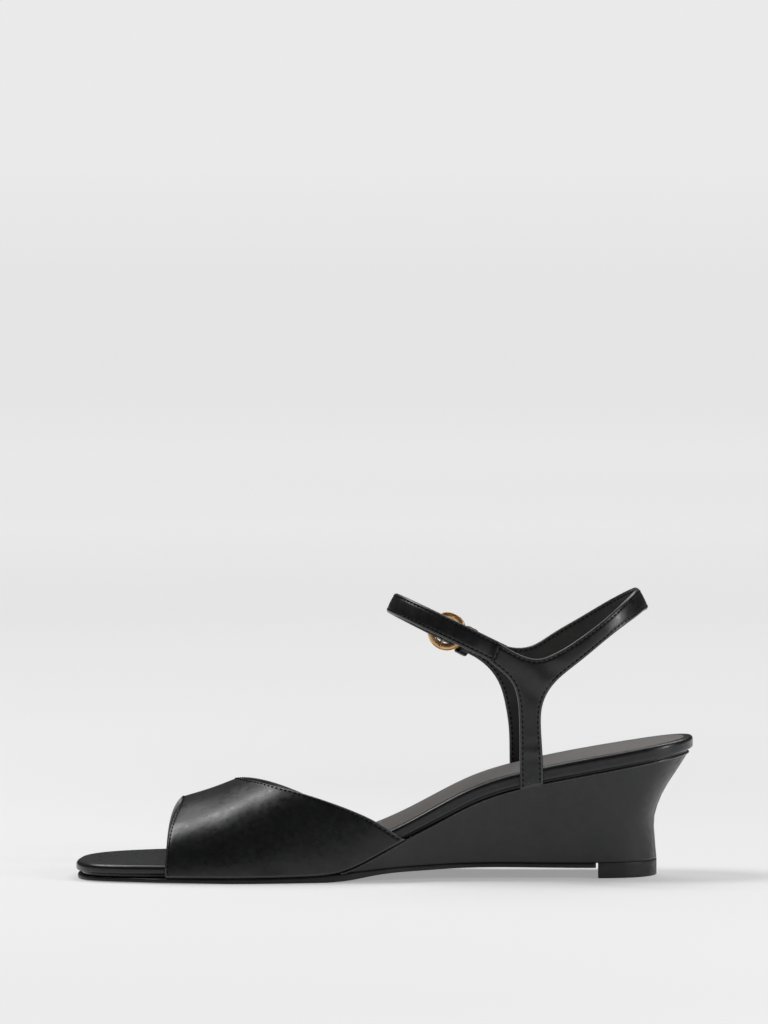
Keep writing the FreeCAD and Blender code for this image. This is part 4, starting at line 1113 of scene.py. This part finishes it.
# ---------------------------------------------------------------- buckle and keeper
def local_frame(x):
    """Point of the collar's outer arm at side-view x, with its forward, width and outward directions."""
    outer = loop_plan[:front_index + 1]
    line = on_strap_plane(outer[np.argsort(outer[:, 0])])
    origin = np.array([np.interp(x, line[:, 0], line[:, i]) for i in range(3)])
    ahead = np.array([np.interp(x - 0.5, line[:, 0], line[:, i]) for i in range(3)])
    behind = np.array([np.interp(x + 0.5, line[:, 0], line[:, i]) for i in range(3)])
    forward = (ahead - behind) / np.linalg.norm(ahead - behind)
    outward = np.cross(forward, WIDTH_AXIS)
    outward /= np.linalg.norm(outward)
    forward = np.cross(WIDTH_AXIS, outward)
    return origin, forward, outward


def placed(verts, where):
    """Points drawn with x forward, y across the strap and z outward, moved into place."""
    origin, forward, outward = where
    verts = np.array(verts, float)
    return origin + verts[:, :1] * forward + verts[:, 1:2] * WIDTH_AXIS + verts[:, 2:] * outward


def put(name, pieces, where, material, slot, body):
    """One object from (verts, faces) pieces drawn in a local frame."""
    verts, faces = joined(pieces)
    return make_object(name, placed(verts, where), faces, material, slot, body)


def keeper():
    """Leather loop round the tail and the arm, its ends butted on the inside."""
    where = local_frame(KEEPER_X)
    low = -STRAP_THICKNESS / 2 - KEEPER_CLEARANCE
    high = TAIL_RISE + STRAP_THICKNESS / 2 + KEEPER_CLEARANCE
    half_w, half_h = STRAP_HALF_WIDTH + 0.7 + KEEPER_LEATHER / 2, (high - low + KEEPER_LEATHER) / 2
    outline = np.array(soft_rectangle(half_w, half_h, 1.1, 9))
    outline = evenly(np.vstack([outline, outline[:1]]), 110, closed=True)
    path = np.column_stack([np.zeros(len(outline)), outline[:, 0], outline[:, 1] + (low + high) / 2])
    centre = path.mean(axis=0)
    section = soft_rectangle(KEEPER_LEATHER / 2, KEEPER_WIDTH / 2, 0.38, 7)
    loop = sweep(path, section, path - centre, closed_path=True)
    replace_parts(put("keeper_leather", [loop], where, BLACK, "black_leather", "keeper"), "keeper_loop")
    pieces = []
    for offset in (-KEEPER_WIDTH / 2 + KEEPER_STITCH_INSET, KEEPER_WIDTH / 2 - KEEPER_STITCH_INSET):
        line = path + np.array([offset, 0, 0])
        outward = unit(line - centre - np.array([offset, 0, 0]))
        pieces.append(thread(line + outward * (KEEPER_LEATHER / 2), outward, *KEEPER_STITCH))
    put("keeper_stitches", pieces, where, THREAD, "black_leather", "keeper")


def buckle_fold():
    """The arm's leather turned round the bar and sewn back on the inside, slit for the prong."""
    where = local_frame(BUCKLE_X)
    outer_r = BAR_RADIUS + PIN_CLEARANCE + FOLD_LEATHER
    middle_r = outer_r - FOLD_LEATHER / 2
    turn = np.linspace(math.pi / 2, -math.pi / 2, 22)
    arc = np.column_stack([middle_r * np.cos(turn), np.zeros(22), middle_r * np.sin(turn) - BAR_DEPTH])
    back = np.linspace(arc[-1], (FOLD_PLY_END_X, 0, -STRAP_THICKNESS / 2 - FOLD_PLY_GAP), 12)[1:]
    front = np.linspace((-2.4, 0, 0.35), arc[0], 8)[:-1]
    path = np.vstack([front, arc, back])
    pieces = []
    for low, high in ((-FOLD_HALF_WIDTH, -PRONG_GAP), (PRONG_GAP, FOLD_HALF_WIDTH)):
        section = soft_rectangle(FOLD_LEATHER / 2, (high - low) / 2, 0.3, 6)
        normals = np.gradient(path, axis=0)
        normals = np.column_stack([-normals[:, 2], np.zeros(len(path)), normals[:, 0]])
        pieces.append(sweep(path + np.array([0, (low + high) / 2, 0]), section, normals))
    obj = put("buckle_fold_leather", pieces, where, BLACK, "black_leather", "ankle_collar")
    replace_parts(obj, "buckle_fold")


def ring():
    """Round ring with a bar across it."""
    where = local_frame(BUCKLE_X)
    t = np.linspace(0, 2 * math.pi, 120, endpoint=False)
    tilt = np.array([math.cos(RING_TILT), 0, math.sin(RING_TILT)])
    unit = np.cos(t)[:, None] * tilt + np.sin(t)[:, None] * np.array([0, 1, 0])
    circle = (RING_RADIUS - RING_BAND + RING_WIRE) * unit
    circle[:, 2] -= BAR_DEPTH
    face_direction = (-math.sin(RING_TILT), 0, math.cos(RING_TILT))
    hoop = sweep(circle, round_section(RING_WIRE * 0.86, RING_BAND, 24), face_direction, closed_path=True)
    ys = np.linspace(-RING_RADIUS, RING_RADIUS, 30)
    bar_path = np.column_stack([np.zeros(30), ys, np.full(30, -BAR_DEPTH)])
    flared = BAR_RADIUS * (1 + 0.5 * np.clip((np.abs(ys) - 5.0) / 1.6, 0, 1) ** 2)
    bar = sweep(bar_path, np.array([round_section(r, count=20) for r in flared]), (0, 0, 1))
    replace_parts(put("ring_metal", [hoop, bar], where, GOLD, "gold_metal", "buckle_ring"), "buckle_ring")


def prong():
    """The prong, which turns on the ring's bar and lies on the ring's front."""
    where = local_frame(BUCKLE_X)
    rest = RING_WIRE + PRONG_RADIUS + 0.1
    over = (RING_RADIUS * math.cos(RING_TILT) - rest * math.sin(RING_TILT), 0,
            RING_RADIUS * math.sin(RING_TILT) - BAR_DEPTH + rest * math.cos(RING_TILT))
    tongue_path = smooth([(0.55, 0, 0.05), (1.5, 0, 1.7), (3.0, 0, 3.3), over, (7.6, 0, 4.9)], 60)
    slim = PRONG_RADIUS * np.interp(np.linspace(0, 1, 60), [0, 0.75, 0.95, 1.0], [1.0, 0.95, 0.75, 0.3])
    tongue = sweep(tongue_path, np.array([round_section(r, count=18) for r in slim]), (0, 1, 0))
    turn = np.linspace(0, 2 * math.pi, 40, endpoint=False)
    eye_r = BAR_RADIUS + PIN_CLEARANCE + 0.3
    eye_path = np.column_stack([eye_r * np.cos(turn), np.zeros(40), eye_r * np.sin(turn) - BAR_DEPTH])
    eye_section = soft_rectangle(0.27, PRONG_GAP - 0.35, 0.2, 5)
    eye = sweep(eye_path, eye_section, eye_path - eye_path.mean(axis=0), closed_path=True)
    obj = put("prong_metal", [tongue, eye], where, GOLD, "gold_metal", "buckle_prong")
    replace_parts(obj, "buckle_prong")


# ---------------------------------------------------------------- hidden layers
def dress_hidden():
    """Give the CAD pieces inside the sole their own procedural materials."""
    foam = fabric("Dark foam", (0.012, 0.012, 0.013), (0.022, 0.022, 0.023))
    board = fabric("Dark fibre board", (0.016, 0.014, 0.012), (0.028, 0.025, 0.022))
    steel = metal("Steel", (0.38, 0.38, 0.40), (0.62, 0.62, 0.64), 0.3)
    dressed = {foam: ("wedge_core", "footbed_foam"), board: ("bottom_filler", "insole_board"),
               steel: ("shank", "shank_rivets", "heel_nails", "top_lift_pins")}
    for material, names in dressed.items():
        for name in names:
            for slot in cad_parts[name].material_slots:
                slot.material = material


# ---------------------------------------------------------------- studio
def studio_floor():
    """Wide pale floor that glows more where the lamps reach it less, so that it looks even."""
    material, shader, tree = new_material("Studio paper", (FLOOR_GREY,) * 3, 0.85, specular=0.1)
    shader.inputs["Emission Color"].default_value = (1.0, 1.0, 1.0, 1.0)
    away = tree.nodes.new("ShaderNodeVectorMath")
    away.operation = "DISTANCE"
    away.inputs[1].default_value = GLOW_MIDDLE
    tree.links.new(place_vector(tree), away.inputs[0])
    share = tree.nodes.new("ShaderNodeMath")
    share.operation = "DIVIDE"
    share.inputs[1].default_value = GLOW_REACH
    tree.links.new(away.outputs["Value"], share.inputs[0])
    stops = [(reach / GLOW_REACH, (strength,) * 3) for reach, strength in GLOW]
    tree.links.new(ramp(tree, share.outputs["Value"], stops), shader.inputs["Emission Strength"])
    tree.links.new(ranged(tree, noise(tree, 6.0), 0.8, 0.9), shader.inputs["Roughness"])
    corners = [(-FLOOR_HALF, -FLOOR_HALF), (FLOOR_HALF, -FLOOR_HALF), (FLOOR_HALF, FLOOR_HALF),
               (-FLOOR_HALF, FLOOR_HALF)]
    mesh = bpy.data.meshes.new("studio_floor")
    mesh.from_pydata([(x, y, 0.0) for x, y in corners], [], [(0, 1, 2, 3)])
    mesh.materials.append(material)
    floor = bpy.data.objects.new("studio_floor", mesh)
    bpy.context.scene.collection.objects.link(floor)


def studio():
    """Floor, large soft lights and the camera."""
    studio_floor()
    bpy.context.scene.view_settings.view_transform = "Standard"
    world = bpy.data.worlds.new("Studio")
    bpy.context.scene.world = world
    world.use_nodes = True
    background = world.node_tree.nodes["Background"]
    background.inputs["Color"].default_value = (0.97, 0.98, 1.0, 1.0)
    background.inputs["Strength"].default_value = WORLD_STRENGTH
    for name, place, size, power in LIGHTS:
        lamp = bpy.data.lights.new(name, "AREA")
        lamp.shape = "RECTANGLE"
        lamp.size, lamp.size_y = size
        lamp.energy = power
        obj = bpy.data.objects.new(name, lamp)
        obj.location = place
        obj.rotation_euler = (Vector((0, 0, 0.05)) - Vector(place)).to_track_quat("-Z", "Y").to_euler()
        bpy.context.scene.collection.objects.link(obj)
    camera_data = bpy.data.cameras.new("Camera")
    camera_data.lens = CAMERA_LENS
    camera_data.sensor_width = 36.0
    camera_data.sensor_fit = "AUTO"
    camera_data.clip_end = 50.0
    camera = bpy.data.objects.new("Camera", camera_data)
    aim = Vector(CAMERA_AIM)
    lift = math.radians(CAMERA_ELEVATION)
    camera.location = aim + Vector((0, -math.cos(lift), math.sin(lift))) * CAMERA_DISTANCE
    camera.rotation_euler = (aim - camera.location).to_track_quat("-Z", "Y").to_euler()
    bpy.context.scene.collection.objects.link(camera)
    bpy.context.scene.camera = camera


for make in (footbed, sock, outsole, tread, heel_lift, wedge_cover, wedge_bead, vamp, collar, front_strap,
             keeper, buckle_fold, ring, prong, dress_hidden, studio):
    make()
bpy.context.view_layer.update()
